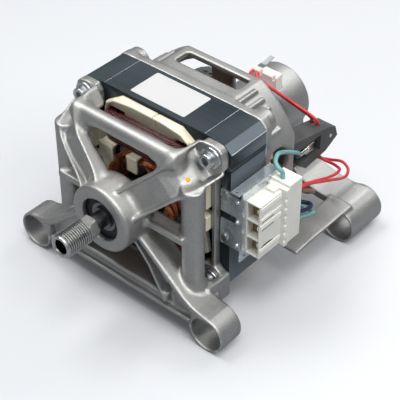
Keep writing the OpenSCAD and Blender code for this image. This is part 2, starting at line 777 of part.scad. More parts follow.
// A field coil is wound in and out again in layers round its pole
function layer_of(u) = floor(u / coil_turns);
function wave(u) = let (m = u - 2 * coil_turns * floor(u / (2 * coil_turns)))
    m < coil_turns ? coil_turns - m : m - coil_turns;
function climb(u) = let (k = round(u / coil_turns), e = u - k * coil_turns)
    k < 1 || k >= coil_layers ? layer_of(min(u, coil_layers * coil_turns - 0.01))
        : (abs(e) >= 0.25 ? layer_of(u) : k - 1 + (e + 0.25) * 2);
function coil_point(u) = let (
    turn = u - floor(u), corner = floor(turn * 4), a = 90 * corner + 120 * (turn * 4 - corner),
    grow = wave(u) * coil_step, r = coil_corner + grow,
    cx = (corner == 0 || corner == 3 ? 1 : -1) * (coil_x - coil_corner),
    cy = (corner < 2 ? 1 : -1) * (coil_y - coil_corner))
    [cx + r * cos(a), stack_mid + cy + r * sin(a), coil_top - climb(u) * layer_step];
coil_path = [for (i = [0 : coil_layers * coil_turns * coil_rings - 1]) coil_point(i / coil_rings)];

module field_coil() {
    echo(field_coil_gap = self_gap(coil_path, coil_d, 8));
    tube(coil_path, coil_d, 6);
}

module field_coil_upper() {
    color("maroon") field_coil();
}

module field_coil_lower() {
    color("maroon") mirror([0, 0, 1]) field_coil();
}

// Fasteners
module through_bolts() {
    end = stack_rear + boss_len - 4;
    color("gainsboro") four_corners() difference() {
        union() {
            rod_y(bolt_x, bolt_z, pad_front - 1.4, pad_front, flange_r);
            rod_y(bolt_x, bolt_z, pad_front - 6, pad_front, 4.9);
            rod_y(bolt_x, bolt_z, pad_front - eps, end, bolt_d / 2);
        }
        translate([bolt_x, pad_front - 7, bolt_z]) rotate([-90, 0, 0]) cylinder(d = 5.6, h = 4, $fn = 6);
    }
}

rivet_x = half_w - 3.2;
rivet_r = 1.6;
rivet_z = [19.8, -12.4];

module bracket_rivets() {
    color("gainsboro") for (z = rivet_z) {
        rod_y(rivet_x, z, stack_front - sheet_t - 1.2, stack_front - sheet_t, 2.6);
        rod_y(rivet_x, z, stack_front - sheet_t - eps, stack_front + 7, rivet_r);
    }
}

// Ball bearings
module ring_outline(r0, r1, w, y) {
    pitch_r = (r0 + r1) / 2;
    difference() {
        translate([r0, y]) square([r1 - r0, w]);
        translate([pitch_r, y + w / 2]) circle(ball_d / 2 + ball_gap);
        translate([pitch_r - race_gap * (r1 - r0), y - 1]) square([2 * race_gap * (r1 - r0), w + 2]);
        for (e = [y - 1, y + w - seal_seat]) translate([pitch_r - seal_gap * (r1 - r0), e])
            square([2 * seal_gap * (r1 - r0), seal_seat + 1]);
    }
}

module half_ring(r0, r1, w, y, outer) {
    pitch_r = (r0 + r1) / 2;
    turned() intersection() {
        ring_outline(r0, r1, w, y);
        translate([outer ? pitch_r : 0, y]) square([pitch_r, w]);
    }
}

module balls(r0, r1, w, y, count) {
    pitch_r = (r0 + r1) / 2;
    for (k = [0 : count - 1]) rotate([0, 360 / count * k, 0])
        translate([pitch_r, y + w / 2, 0]) sphere(d = ball_d);
}

module cage(r0, r1, w, y, count) {
    pitch_r = (r0 + r1) / 2;
    difference() {
        turned() translate([pitch_r - 0.6, y + w / 2 - ball_d / 2 - 0.8]) square([1.2, ball_d + 1.6]);
        for (k = [0 : count - 1]) rotate([0, 360 / count * k, 0])
            rod_x(pitch_r - 3, pitch_r + 3, y + w / 2, 0, ball_d / 2 + ball_gap);
    }
}

front_bore_r = shaft_d / 2 + fit;
front_race_r = front_bearing_od / 2;
rear_bore_r = rear_seat_d / 2 + fit;
rear_race_r = rear_bearing_od / 2;
front_ball_count = 8;
rear_ball_count = 7;
// Half the gap between the races, as a share of the bearing's section
race_gap = 0.19;
// Half the width of the seal's seat, as such a share, and the seat's depth
seal_gap = 0.29;
seal_seat = 1.6;

module front_bearing_outer() {
    color("lightgray") half_ring(front_bore_r, front_race_r, front_bearing_w, front_bearing_y, true);
}

module front_bearing_inner() {
    color("lightgray") half_ring(front_bore_r, front_race_r, front_bearing_w, front_bearing_y, false);
}

module front_bearing_seal() {
    groove = seal_gap * (front_race_r - front_bore_r);
    mid = (front_bore_r + front_race_r) / 2;
    color("dimgray") turned() translate([mid - groove + run_gap, front_bearing_y + 0.4])
        square([2 * groove - run_gap - fit, 0.9]);
}

module front_bearing_balls() {
    color("white") balls(front_bore_r, front_race_r, front_bearing_w, front_bearing_y, front_ball_count);
}

module front_bearing_cage() {
    color("peru") cage(front_bore_r, front_race_r, front_bearing_w, front_bearing_y, front_ball_count);
}

module rear_bearing_outer() {
    color("lightgray") half_ring(rear_bore_r, rear_race_r, rear_bearing_w, rear_bearing_y, true);
}

module rear_bearing_inner() {
    color("lightgray") half_ring(rear_bore_r, rear_race_r, rear_bearing_w, rear_bearing_y, false);
}

module rear_bearing_balls() {
    color("white") balls(rear_bore_r, rear_race_r, rear_bearing_w, rear_bearing_y, rear_ball_count);
}

module rear_bearing_cage() {
    color("peru") cage(rear_bore_r, rear_race_r, rear_bearing_w, rear_bearing_y, rear_ball_count);
}

// Rotor
module shaft_step(y0, y1, d) {
    translate([0, y0]) square([d / 2, y1 - y0]);
}

module rotor_shaft() {
    color("lightsteelblue") difference() {
        turned() {
            shaft_step(pulley_front + 6, collar_back, pulley_bore_d - 2 * fit);
            shaft_step(collar_back, hub_face + 2, neck_d);
            shaft_step(hub_face + 2, hub_back + 4, shaft_d);
            shaft_step(hub_back + 4, cup_step - 1, core_seat_d);
            shaft_step(cup_step - 1, tacho_y - 1, rear_seat_d);
            shaft_step(tacho_y - 1, shaft_end, tail_d);
        }
        translate([0, pulley_front + 5.9, 0]) rotate([-90, 0, 0]) cylinder(r1 = 3, r2 = 0.5, h = 4);
    }
}

module drive_pulley() {
    r = pulley_d / 2;
    land = 0.3 * rib_pitch;
    color("gainsboro") difference() {
        union() {
            turned() polygon(concat([[0, pulley_front], [r - 0.8, pulley_front]],
                [for (k = [0 : rib_count - 1], p = [[r, 0.5 - land / rib_pitch], [r, 0.5 + land / rib_pitch],
                        [r - groove_depth, 0.92], [r - groove_depth, 1.08]])
                    if (k < rib_count - 1 || p[1] < 0.9) [p[0], -rib_len / 2 + rib_pitch * (k + p[1])]],
                [[r - 0.4, rib_len / 2 + 0.5], [0, rib_len / 2 + 0.5]]));
            translate([0, rib_len / 2, 0]) rotate([-90, 0, 0])
                intersection() {
                    cylinder(d = collar_flats / cos(30), h = collar_len, $fn = 6);
                    cylinder(d = collar_flats + 1.2, h = collar_len);
                }
        }
        rod_y(0, 0, pulley_front - 1, collar_back + 1, pulley_bore_d / 2);
        translate([0, pulley_front - eps, 0]) rotate([-90, 0, 0])
            cylinder(r1 = pulley_bore_d / 2 + 1, r2 = pulley_bore_d / 2, h = 1);
    }
}

module armature_core() {
    color("slategray") prism(stack_front, stack_rear) difference() {
        circle(armature_d / 2, $fn = 96);
        circle(core_seat_d / 2 + fit);
        for (k = [0 : slot_count - 1]) rotate(360 / slot_count * k) {
            translate([slot_floor, -slot_w / 2])
                square([winding_outer + winding_d / 2 + 0.6 - slot_floor, slot_w]);
            translate([slot_floor, -1.2]) square([armature_d, 2.4]);
        }
    }
}

// One pass of the armature winding through a slot, over the front end, back through the slot
// half a turn on, and over the rear end. Each entry is angle in slots, radius and Y
function crossing(from, step, r0, r1, y0, y1) = [for (t = [0.33, 0.67, 0.95, 1, 1.05, 1.33, 1.67])
    [from + step * t / 2, t < 1 ? r0 : t > 1 ? r1 : (r0 + r1) / 2,
        t == 1 ? y1 : y0 + (y1 - y0) * (1 - abs(1 - t))]];
function winding_turn(k) = let (
    s = 2 * slot_span * k, yf = stack_front - 2, yr = stack_rear + 2,
    nose_f = stack_front - overhang, nose_r = stack_rear + overhang)
    concat([[s, winding_outer, yr], [s, winding_outer, yf]],
        crossing(s, slot_span, winding_outer, winding_inner, yf, nose_f),
        [[s + slot_span, winding_inner, yf], [s + slot_span, winding_inner, yr]],
        crossing(s + slot_span, slot_span, winding_inner, winding_outer, yr, nose_r));
function slot_point(e) = let (a = 360 / slot_count * e[0]) [e[1] * cos(a), e[2], e[1] * sin(a)];
winding_list = [for (k = [0 : slot_count - 1], e = winding_turn(k)) slot_point(e)];
winding_path = [for (i = [0 : len(winding_list) - 5]) winding_list[i]];

module armature_winding() {
    color("chocolate") {
        echo(armature_winding_gap = self_gap(winding_path, winding_d, 6));
        tube(winding_path, winding_d, 6);
    }
}

module commutator() {
    r = commutator_d / 2;
    color("darkgoldenrod") difference() {
        turned() {
            translate([0, commutator_y]) square([r, commutator_len]);
            translate([0, commutator_y - 3]) square([r + 1.6, 3 + eps]);
        }
        rod_y(0, 0, commutator_y - 4, commutator_y + commutator_len + 1, core_seat_d / 2 + fit);
        for (k = [0 : segment_count - 1]) rotate([0, 360 / segment_count * k, 0])
            block([r - 1, commutator_y - 4, -0.3], [r + 3, commutator_y + commutator_len + 1, 0.3]);
    }
}

// Speed sensor in the rear cup
module tacho_magnet() {
    color("dimgray") turned() translate([tail_d / 2 + fit, tacho_y])
        square([(magnet_d - tail_d) / 2 - fit, magnet_len]);
}

module tacho_coil() {
    r0 = magnet_d / 2 + 1.2;
    r1 = cup_r - 3 - fit;
    y0 = tacho_y - 2 + fit;
    color("ivory") difference() {
        turned() difference() {
            translate([r0, y0]) square([r1 - r0, tacho_len]);
            translate([r1 - 3, y0 + 2]) square([4, tacho_len - 4]);
        }
        block([sensor_x0 - slide_gap, y0 - 1, sensor_foot - slide_gap],
            [sensor_x1 + slide_gap, sensor_y1 + slide_gap, cup_r]);
    }
    color("peru") turned() translate([r1 - 3, sensor_y1 + slide_gap])
        square([2.4, y0 + tacho_len - 2 - sensor_y1 - slide_gap]);
}

module tacho_terminal_block() {
    color("ivory") difference() {
        block([sensor_x0, sensor_y0, sensor_foot], [sensor_x1, sensor_y1, sensor_top]);
        for (x = [sensor_x0 + 6.6, sensor_x1 - 3.4])
            block([x, sensor_y0 - 1, sensor_top - 3.4], [x + 1.6, sensor_y0 + 2.2, sensor_top + 1]);
        translate([0, sensor_y0, sensor_top]) rotate([45, 0, 0])
            cube([3 * sensor_x1, 1.6, 1.6], center = true);
    }
}

module tacho_clip() {
    x0 = sensor_x0 + 2.4;
    color("gainsboro") {
        block([x0, sensor_y0 + 2.6, sensor_top], [x0 + 5, sensor_y1 + 0.8, sensor_top + 0.8]);
        translate([x0 + 0.8, sensor_y1, sensor_top]) rotate([14, 0, 0]) cube([3.4, 9, 0.8]);
    }
}

// Brush gear: each part is made for the right side and mirrored to the left
module holder_side_outline() {
    polygon([[bell_rear, holder_half + 4], [bell_rear, 0], [bell_rear + 4, -2],
        [bell_rear + 16.5, -holder_half],
        [bell_rear + 38, -holder_half + 2.2], [bell_rear + holder_len, -holder_half + 8.2],
        [bell_rear + holder_len - 3, holder_half - 7.4], [bell_rear + 38.5, holder_half - 3.8],
        [bell_rear + holder_box, holder_half]]);
}

module brush_holder() {
    screw_half = 5;
    tab = holder_screw_z + 4;
    difference() {
        union() {
            block([holder_in, bell_rear, -holder_half], [slot_x + 0.4, bell_rear + holder_box, holder_half]);
            sideways(holder_x - holder_side, holder_x) holder_side_outline();
            block([holder_screw_x - screw_half, bell_rear, -tab],
                [holder_screw_x + screw_half, bell_rear + 4, tab]);
        }
        block([holder_in - 1, brush_y - guide_w / 2 - fit, -guide_h / 2 - fit],
            [guide_out + fit, brush_y + guide_w / 2 + fit, guide_h / 2 + fit]);
        block([slot_x, bell_rear - 1, slot_z0], [holder_x + 1, slot_rear, slot_z1]);
        for (side = [-1, 1])
            rod_y(holder_screw_x, side * holder_screw_z, bell_rear - 1, bell_rear + 5,
                holder_screw_r + slide_gap);
        for (x = wire_hole_x) rod_z(x, wire_hole_y, -holder_half - 1, holder_half + 1, wire_hole_r);
    }
}

module brush_holder_right() {
    color("darkslategray") brush_holder();
}

module brush_holder_left() {
    color("darkslategray") mirror([1, 0, 0]) brush_holder();
}

module brush_guide() {
    difference() {
        block([guide_in, brush_y - guide_w / 2, -guide_h / 2],
            [guide_out, brush_y + guide_w / 2, guide_h / 2]);
        block([guide_in - 1, brush_y - brush_w / 2 - slide_gap, -brush_t / 2 - slide_gap],
            [guide_out - 1, brush_y + brush_w / 2 + slide_gap, brush_t / 2 + slide_gap]);
    }
}

module brush_guide_right() {
    color("goldenrod") brush_guide();
}

module brush_guide_left() {
    color("goldenrod") mirror([1, 0, 0]) brush_guide();
}

module carbon_brush() {
    intersection() {
        block([brush_in - 3, brush_y - brush_w / 2, -brush_t / 2],
            [brush_out, brush_y + brush_w / 2, brush_t / 2]);
        difference() {
            block([0, 0, -brush_t], [brush_out + 1, cup_rear, brush_t]);
            rod_y(0, 0, -1, cup_rear + 1, brush_in);
        }
    }
}

module carbon_brush_right() {
    color("black") carbon_brush();
}

module carbon_brush_left() {
    color("black") mirror([1, 0, 0]) carbon_brush();
}

// The brush spring is one helix from the back of the brush to the end of the guide
spring_turns = 5;
spring_r = brush_t / 2 - 0.9;
spring_d = 0.7;
spring_path = [for (i = [0 : 8 * spring_turns]) let (a = 45 * i, s = i / (8 * spring_turns))
    [brush_out + 0.7 + s * (guide_out - 1 - brush_out - 1.4), brush_y + spring_r * cos(a),
        spring_r * sin(a)]];

module brush_spring() {
    echo(brush_spring_gap = self_gap(spring_path, spring_d, 8));
    tube(spring_path, spring_d, 6);
}

module brush_spring_right() {
    color("silver") brush_spring();
}

module brush_spring_left() {
    color("silver") mirror([1, 0, 0]) brush_spring();
}

module brush_terminal() {
    blade_x = terminal_x - 1.4;
    blade_half = 3.2;
    rear = slot_rear - 1;
    block([blade_x, terminal_y + 3, -blade_half], [blade_x + 0.8, rear, blade_half]);
    for (side = [-1, 1])
        block([blade_x + eps, terminal_y + 3, side * (blade_half - 0.4) - 0.4],
            [blade_x + 2.6, terminal_y + 11, side * (blade_half - 0.4) + 0.4]);
    block([slot_x, rear - 4, -blade_half], [blade_x + eps, rear, blade_half]);
    rod_y(terminal_x, 0, terminal_y, terminal_y + 5, terminal_d / 2);
}

module brush_terminal_right() {
    color("gainsboro") brush_terminal();
}

module brush_terminal_left() {
    color("gainsboro") mirror([1, 0, 0]) brush_terminal();
}

module brush_holder_screws() {
    color("gainsboro") four_corners() difference() {
        union() {
            rod_y(holder_screw_x, holder_screw_z, bell_rear + 4, bell_rear + 6.4, 3.4);
            rod_y(holder_screw_x, holder_screw_z, wall_front + 0.5, bell_rear + 4 + eps, holder_screw_r);
        }
        translate([holder_screw_x, bell_rear + 5.4, holder_screw_z]) rotate([-90, 0, 0]) for (a = [0, 90])
            rotate(a) translate([-2, -0.4, 0]) cube([4, 0.8, 2]);
    }
}

// Connector and the steel bracket that carries it
module connector_bracket() {
    y0 = stack_front - sheet_t;
    z0 = connector_z - connector_h / 2 + 1;
    z1 = connector_z + connector_h / 2 + 2;
    strip_z = z1 + 4;
    color("lightsteelblue") difference() {
        union() {
            block([rail_out + 0.6, y0, z0], [wall_x + sheet_t, stack_front, z1]);
            block([wall_x, y0, z0], [wall_x + sheet_t, connector_rear - 4, strip_z]);
            block([wall_x - 6, stack_front + 3, strip_z - sheet_t],
                [wall_x + sheet_t, connector_rear - 4, strip_z]);
            block([wall_x - 6, stack_front - 4, strip_z - 0.8], [wall_x + 0.3, stack_front + 4, strip_z]);
            block([wall_x, y0 - 1, z0 - 7], [wall_x + 0.8, stack_front + 12, z0 + 1]);
            for (z = [19, 4, -14]) translate([wall_x - 2.6, y0, z]) sphere(r = 1.4);
        }
        for (z = rivet_z) rod_y(rivet_x, z, y0 - 1, stack_front + 1, rivet_r + slide_gap);
        block([rail_out, y0 - 1, 1], [wall_x - 3.4, stack_front + 1, 7]);
        block([wall_x - 8, y0 - 5, z1 - 2], [wall_x - 0.5, y0 + 3, strip_z - 1]);
        rod_z(wall_x - 3, stack_front - 1.6, strip_z - 3, strip_z + 3, 0.9);
        rod_x(wall_x - 2, wall_x + 3, stack_front + 2, z0 - 4, 0.9);
    }
}

module connector_housing() {
    x0 = connector_x + fit;
    x1 = x0 + mouth_w;
    z0 = connector_z - connector_h / 2;
    z1 = connector_z + connector_h / 2;
    ways = 3;
    way_h = (connector_h - mouth_wall) / ways;
    color("ivory") difference() {
        union() {
            block([x0, connector_y, z0], [x1, rear_block_y + 1, z1]);
            block([x0, rear_block_y, z0 - 1.4], [x0 + rear_block_w, rear_block_y + 3.4, z1 + 2]);
            block([x0, rear_block_y + 3, z0], [x0 + rear_block_w, connector_rear, rear_top]);
            block([x0 + 2, rear_block_y - 5, z1 - 1], [x1 - 2, rear_block_y + 1, z1 + 2]);
        }
        for (k = [0 : ways - 1])
            block([x0 + mouth_wall, connector_y - 1, z0 + mouth_wall + k * way_h],
                [x1 - mouth_wall, connector_y + 15, z0 + (k + 1) * way_h]);
        for (z = [z1 - 9, z1 - 14, z0 + 8])
            block([x1 - 0.6, connector_y + 4, z], [x1 + 1, connector_y + 11, z + 0.9]);
        for (k = [0 : 5])
            block([x0 + rear_block_w - 1, rear_block_y - 1, z0 + 2 + k * 6.4],
                [x0 + rear_block_w + 1, rear_block_y + 1.6, z0 + 4.4 + k * 6.4]);
    }
}

module connector_pins() {
    ways = 3;
    way_h = (connector_h - mouth_wall) / ways;
    z0 = connector_z - connector_h / 2 + mouth_wall;
    x = connector_x + mouth_w / 2;
    color("gold") for (k = [0 : ways - 1], h = [0.28, 0.66])
        block([x - 0.4, connector_y + 5, z0 + way_h * (k + h) - 1.6],
            [x + 0.4, connector_y + 15, z0 + way_h * (k + h) + 1.6]);
}

module tacho_wire_a() {
    color("red") tube(tied(tacho_route_a, tacho_end(-6.8, 3.7), connector_end(6.4, 8.6)), tacho_wire_d);
}

module tacho_wire_b() {
    color("red") tube(tied(tacho_route_b, tacho_end(-2.6, 3.3), connector_end(10.2, 11.4)), tacho_wire_d);
}

module brush_lead_right() {
    plug_end = [connector_x + 6.2, rear_block_y + 6.5, rear_top + lead_gap];
    color("cadetblue") tube(tied(brush_route_right, terminal_end(1), plug_end), lead_d);
}

module brush_lead_left() {
    color("cadetblue") tube(tied(brush_route_left, terminal_end(-1), tower_end(-1, 18, 18)), lead_d);
}

module field_lead_brown() {
    color("sienna") tube(tied(brown_route, connector_end(9.8, 7.6), tower_end(1, 20, 11.5)), lead_d);
}

module field_lead_navy() {
    color("midnightblue") tube(tied(navy_route, connector_end(9.8, -6.6), tower_end(1, 15.5, 7)), lead_d);
}

module field_lead_teal() {
    color("cadetblue") tube(tied(teal_route, connector_end(9.8, -12), tower_end(1, 11, 4.5)), lead_d);
}

front_bracket();
rear_bracket();
rear_bell();
rear_foot_right();
rear_foot_left();
stator_stack();
coil_frame_front();
coil_frame_rear();
field_coil_upper();
field_coil_lower();
through_bolts();
front_bearing_outer();
front_bearing_seal();
rear_bearing_outer();
tacho_coil();
tacho_terminal_block();
tacho_clip();
brush_holder_right();
brush_holder_left();
brush_guide_right();
brush_guide_left();
brush_spring_right();
brush_spring_left();
brush_terminal_right();
brush_terminal_left();
brush_holder_screws();
connector_bracket();
bracket_rivets();
connector_housing();
connector_pins();
tacho_wire_a();
tacho_wire_b();
brush_lead_right();
brush_lead_left();
field_lead_brown();
field_lead_navy();
field_lead_teal();
rotor_shaft();
drive_pulley();
armature_core();
armature_winding();
commutator();
front_bearing_inner();
rear_bearing_inner();
tacho_magnet();
front_bearing_balls();
front_bearing_cage();
rear_bearing_balls();
rear_bearing_cage();
carbon_brush_right();
carbon_brush_left();
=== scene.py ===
import json
import math

import bpy
import numpy as np
from mathutils import Matrix, Vector
from mathutils.bvhtree import BVHTree


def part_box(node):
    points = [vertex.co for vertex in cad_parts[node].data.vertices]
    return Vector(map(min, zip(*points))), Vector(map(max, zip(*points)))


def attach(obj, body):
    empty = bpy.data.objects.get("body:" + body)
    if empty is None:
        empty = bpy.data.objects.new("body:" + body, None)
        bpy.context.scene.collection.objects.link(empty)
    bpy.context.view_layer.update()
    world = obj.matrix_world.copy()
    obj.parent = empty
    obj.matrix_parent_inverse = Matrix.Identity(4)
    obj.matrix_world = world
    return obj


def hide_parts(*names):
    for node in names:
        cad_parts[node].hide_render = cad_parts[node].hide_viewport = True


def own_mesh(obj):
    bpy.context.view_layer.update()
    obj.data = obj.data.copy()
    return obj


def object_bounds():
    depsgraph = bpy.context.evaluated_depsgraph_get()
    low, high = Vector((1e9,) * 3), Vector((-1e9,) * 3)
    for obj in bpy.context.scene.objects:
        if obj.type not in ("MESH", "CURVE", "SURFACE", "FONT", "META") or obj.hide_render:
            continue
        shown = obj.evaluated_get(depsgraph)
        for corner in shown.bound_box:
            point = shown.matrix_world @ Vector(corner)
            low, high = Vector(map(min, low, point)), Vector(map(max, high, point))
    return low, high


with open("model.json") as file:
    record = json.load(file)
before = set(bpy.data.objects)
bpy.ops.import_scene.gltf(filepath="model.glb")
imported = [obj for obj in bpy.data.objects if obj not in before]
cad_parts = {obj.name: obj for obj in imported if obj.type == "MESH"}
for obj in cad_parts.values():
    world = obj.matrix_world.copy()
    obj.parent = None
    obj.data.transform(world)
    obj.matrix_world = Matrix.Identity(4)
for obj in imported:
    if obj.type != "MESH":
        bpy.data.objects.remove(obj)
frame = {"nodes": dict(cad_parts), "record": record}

MM = 0.001
nodes = frame["nodes"]
cad_low, cad_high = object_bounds()
scene = bpy.context.scene
scene.view_settings.view_transform = "Standard"
rng = np.random.default_rng(7)


# Camera, floor and light

CAMERA_PLACE = (0.4097, -0.3612, 0.4747)
CAMERA_TURN, CAMERA_LIFT = 40.78, 39.46
CAMERA_LENS, SENSOR_WIDTH = 110.98, 36
SKY_STRENGTH = 0.42
SKY_STOPS = ((0.0, (0.50, 0.52, 0.55)), (0.25, (0.14, 0.15, 0.17)), (0.9, (0.86, 0.88, 0.90)))
FLOOR_HALF = 4
FLOOR_SEEN, FLOOR_IN_LIGHT = (0.66, 0.67, 0.69, 1), (0.26, 0.27, 0.29, 1)


def add(name, data):
    made = bpy.data.objects.new(name, data)
    scene.collection.objects.link(made)
    return made


def make_camera():
    data = bpy.data.cameras.new("camera")
    data.lens = CAMERA_LENS
    data.sensor_width = SENSOR_WIDTH
    data.clip_start = 0.05
    data.clip_end = 20
    cam = add("camera", data)
    tilt = Matrix.Rotation(math.radians(90 - CAMERA_LIFT), 4, "X")
    turn = Matrix.Rotation(math.radians(CAMERA_TURN), 4, "Z")
    cam.matrix_world = Matrix.Translation(CAMERA_PLACE) @ turn @ tilt
    scene.camera = cam


def make_light(name, place, aim, size, energy, colour=(1, 1, 1)):
    data = bpy.data.lights.new(name, "AREA")
    data.shape = "RECTANGLE"
    data.size, data.size_y = size
    data.energy = energy
    data.color = colour
    lamp = add(name, data)
    lamp.location = place
    lamp.rotation_mode = "QUATERNION"
    lamp.rotation_quaternion = (Vector(aim) - Vector(place)).to_track_quat("-Z", "Y")


def set_stops(ramp, stops):
    marks = ramp.color_ramp.elements
    while len(marks) < len(stops):
        marks.new(0.5)
    for mark, (place, colour) in zip(marks, stops):
        mark.position = place
        mark.color = (*colour, 1)


def make_world():
    world = bpy.data.worlds.new("studio")
    scene.world = world
    world.use_nodes = True
    tree = world.node_tree
    tree.nodes.clear()
    kinds = ("OutputWorld", "Background", "TexCoord", "SeparateXYZ", "ValToRGB")
    out, ground, coords, split, ramp = (tree.nodes.new("ShaderNode" + kind) for kind in kinds)
    set_stops(ramp, SKY_STOPS)
    tree.links.new(coords.outputs["Generated"], split.inputs[0])
    tree.links.new(split.outputs["Z"], ramp.inputs[0])
    tree.links.new(ramp.outputs[0], ground.inputs["Color"])
    ground.inputs["Strength"].default_value = SKY_STRENGTH
    tree.links.new(ground.outputs[0], out.inputs["Surface"])


def make_floor():
    corners = ((-1, -1), (1, -1), (1, 1), (-1, 1))
    mesh = bpy.data.meshes.new("floor")
    mesh.from_pydata([(x * FLOOR_HALF, y * FLOOR_HALF, cad_low[2]) for x, y in corners], [], [(0, 1, 2, 3)])
    floor = add("floor", mesh)
    mat = bpy.data.materials.new("floor")
    mat.use_nodes = True
    tree = mat.node_tree
    shader = tree.nodes["Principled BSDF"]
    seen = tree.nodes.new("ShaderNodeLightPath").outputs["Is Camera Ray"]
    tone = tree.nodes.new("ShaderNodeMix")
    tone.data_type = "RGBA"
    tone.inputs[6].default_value = FLOOR_IN_LIGHT
    tone.inputs[7].default_value = FLOOR_SEEN
    tree.links.new(seen, tone.inputs[0])
    tree.links.new(tone.outputs[2], shader.inputs["Base Color"])
    shader.inputs["Roughness"].default_value = 0.8
    mesh.materials.append(mat)


make_camera()
make_world()
make_floor()
make_light("key", (-0.45, 0.05, 1.05), (0, 0.08, 0), (0.6, 0.5), 7.0)
make_light("side", (0.85, 0.05, 0.85), (0, 0.08, 0), (0.4, 0.6), 5.2)
make_light("front", (0.15, -1.0, 0.45), (0, 0.08, 0), (0.8, 0.4), 1.8, (0.93, 0.96, 1.0))
make_light("rim", (0.1, 0.95, 0.75), (0, 0.1, 0), (0.8, 0.4), 4.0)
make_light("top", (0.35, -0.15, 1.15), (0.05, 0.05, 0), (0.5, 0.5), 6.0)


# Materials

class Paint:
    """A principled material with named helper nodes."""

    def __init__(self, name, metal=0.0, **sockets):
        self.mat = bpy.data.materials.new(name)
        self.mat.use_nodes = True
        self.tree = self.mat.node_tree
        self.shader = self.tree.nodes["Principled BSDF"]
        self.shader.inputs["Metallic"].default_value = metal
        for key, value in sockets.items():
            self.shader.inputs[key.replace("_", " ")].default_value = value
        self.coords = self.node("TexCoord").outputs["Object"]

    def node(self, kind, sockets=(), **settings):
        made = self.tree.nodes.new("ShaderNode" + kind)
        for key, value in settings.items():
            setattr(made, key, value)
        for key, value in dict(sockets).items():
            made.inputs[key].default_value = value
        return made

    def link(self, a, b):
        self.tree.links.new(a, b)
        return self

    def noise(self, scale, detail=3.0, stretch=(1, 1, 1), rough=0.55):
        mapping = self.node("Mapping", {"Scale": stretch})
        self.link(self.coords, mapping.inputs["Vector"])
        noise = self.node("TexNoise", {"Scale": scale, "Detail": detail, "Roughness": rough})
        self.link(mapping.outputs[0], noise.inputs["Vector"])
        return noise.outputs["Fac"]

    def bands(self, scale, axis, shake, shake_scale):
        values = {"Scale": scale, "Distortion": shake, "Detail Scale": shake_scale}
        wave = self.node("TexWave", values, wave_type="BANDS", bands_direction=axis)
        self.link(self.coords, wave.inputs["Vector"])
        return wave.outputs["Fac"]

    def radius(self):
        """Distance from the shaft's axis."""
        flat = self.node("VectorMath", {1: (1, 0, 1)}, operation="MULTIPLY")
        self.link(self.coords, flat.inputs[0])
        length = self.node("VectorMath", operation="LENGTH")
        self.link(flat.outputs[0], length.inputs[0])
        return length.outputs["Value"]

    def along(self):
        """Distance along the shaft's axis."""
        split = self.node("SeparateXYZ")
        self.link(self.coords, split.inputs[0])
        return split.outputs["Y"]

    def ramp(self, fac, *stops):
        ramp = self.node("ValToRGB")
        set_stops(ramp, stops)
        self.link(fac, ramp.inputs[0])
        return ramp.outputs[0]

    def span(self, fac, low, high, start=0.3, end=0.7):
        span = self.node("MapRange", {"From Min": start, "From Max": end, "To Min": low, "To Max": high})
        self.link(fac, span.inputs["Value"])
        return span.outputs[0]

    def mix(self, fac, a, b, mode="MIX", amount=1.0):
        mix = self.node("Mix", {0: amount}, data_type="RGBA", blend_type=mode)
        for value, socket in ((fac, mix.inputs[0]), (a, mix.inputs[6]), (b, mix.inputs[7])):
            if value is None:
                continue
            if isinstance(value, tuple):
                socket.default_value = (*value, 1)
            else:
                self.link(value, socket)
        return mix.outputs[2]

    def worn(self, colour, light, start=0.53, end=0.62):
        edge = self.node("NewGeometry").outputs["Pointiness"]
        return self.mix(self.span(edge, 0.0, 1.0, start, end), colour, light)

    def colour(self, value):
        return self.link(value, self.shader.inputs["Base Color"])

    def rough(self, fac, low, high):
        return self.link(self.span(fac, low, high), self.shader.inputs["Roughness"])

    def bump(self, height, strength, distance):
        bump = self.node("Bump", {"Strength": strength, "Distance": distance})
        self.link(height, bump.inputs["Height"])
        last = self.shader.inputs["Normal"].links
        if last:
            self.link(last[0].from_socket, bump.inputs["Normal"])
        return self.link(bump.outputs[0], self.shader.inputs["Normal"])


def cast_aluminium(name):
    p = Paint(name, metal=1.0)
    cloud = p.noise(26, 4)
    grain = p.noise(1300, 2, rough=0.7)
    base = p.ramp(cloud, (0.30, (0.47, 0.47, 0.455)), (0.70, (0.56, 0.555, 0.535)))
    speck = p.ramp(grain, (0.36, (0.62, 0.62, 0.63)), (0.60, (1.0, 1.0, 1.0)))
    base = p.mix(None, base, speck, "MULTIPLY", 0.45)
    p.colour(p.worn(base, (0.70, 0.69, 0.67)))
    p.rough(cloud, 0.45, 0.55)
    p.bump(grain, 0.22, 0.0004)
    p.bump(p.noise(240, 3), 0.10, 0.0008)
    return p.mat


def laminations(name):
    p = Paint(name, Specular_IOR_Level=0.12)
    sheets = p.bands(628, "Y", 0.5, 3)
    groups = p.noise(60, 3, (0.2, 26, 0.2))
    cloud = p.noise(30, 4)
    base = p.ramp(groups, (0.32, (0.010, 0.016, 0.020)), (0.68, (0.024, 0.034, 0.040)))
    base = p.mix(p.span(cloud, 0.0, 0.4), base, (0.036, 0.048, 0.054))
    lines = p.ramp(sheets, (0.25, (0.72, 0.72, 0.72)), (0.6, (1.0, 1.0, 1.0)))
    base = p.mix(None, base, lines, "MULTIPLY", 0.6)
    p.colour(p.worn(base, (0.14, 0.17, 0.19)))
    p.rough(cloud, 0.5, 0.62)
    p.bump(sheets, 0.25, 0.0003)
    p.bump(groups, 0.18, 0.0005)
    return p.mat


def brighter(colour, gain):
    return tuple(min(1, c * gain) for c in colour)


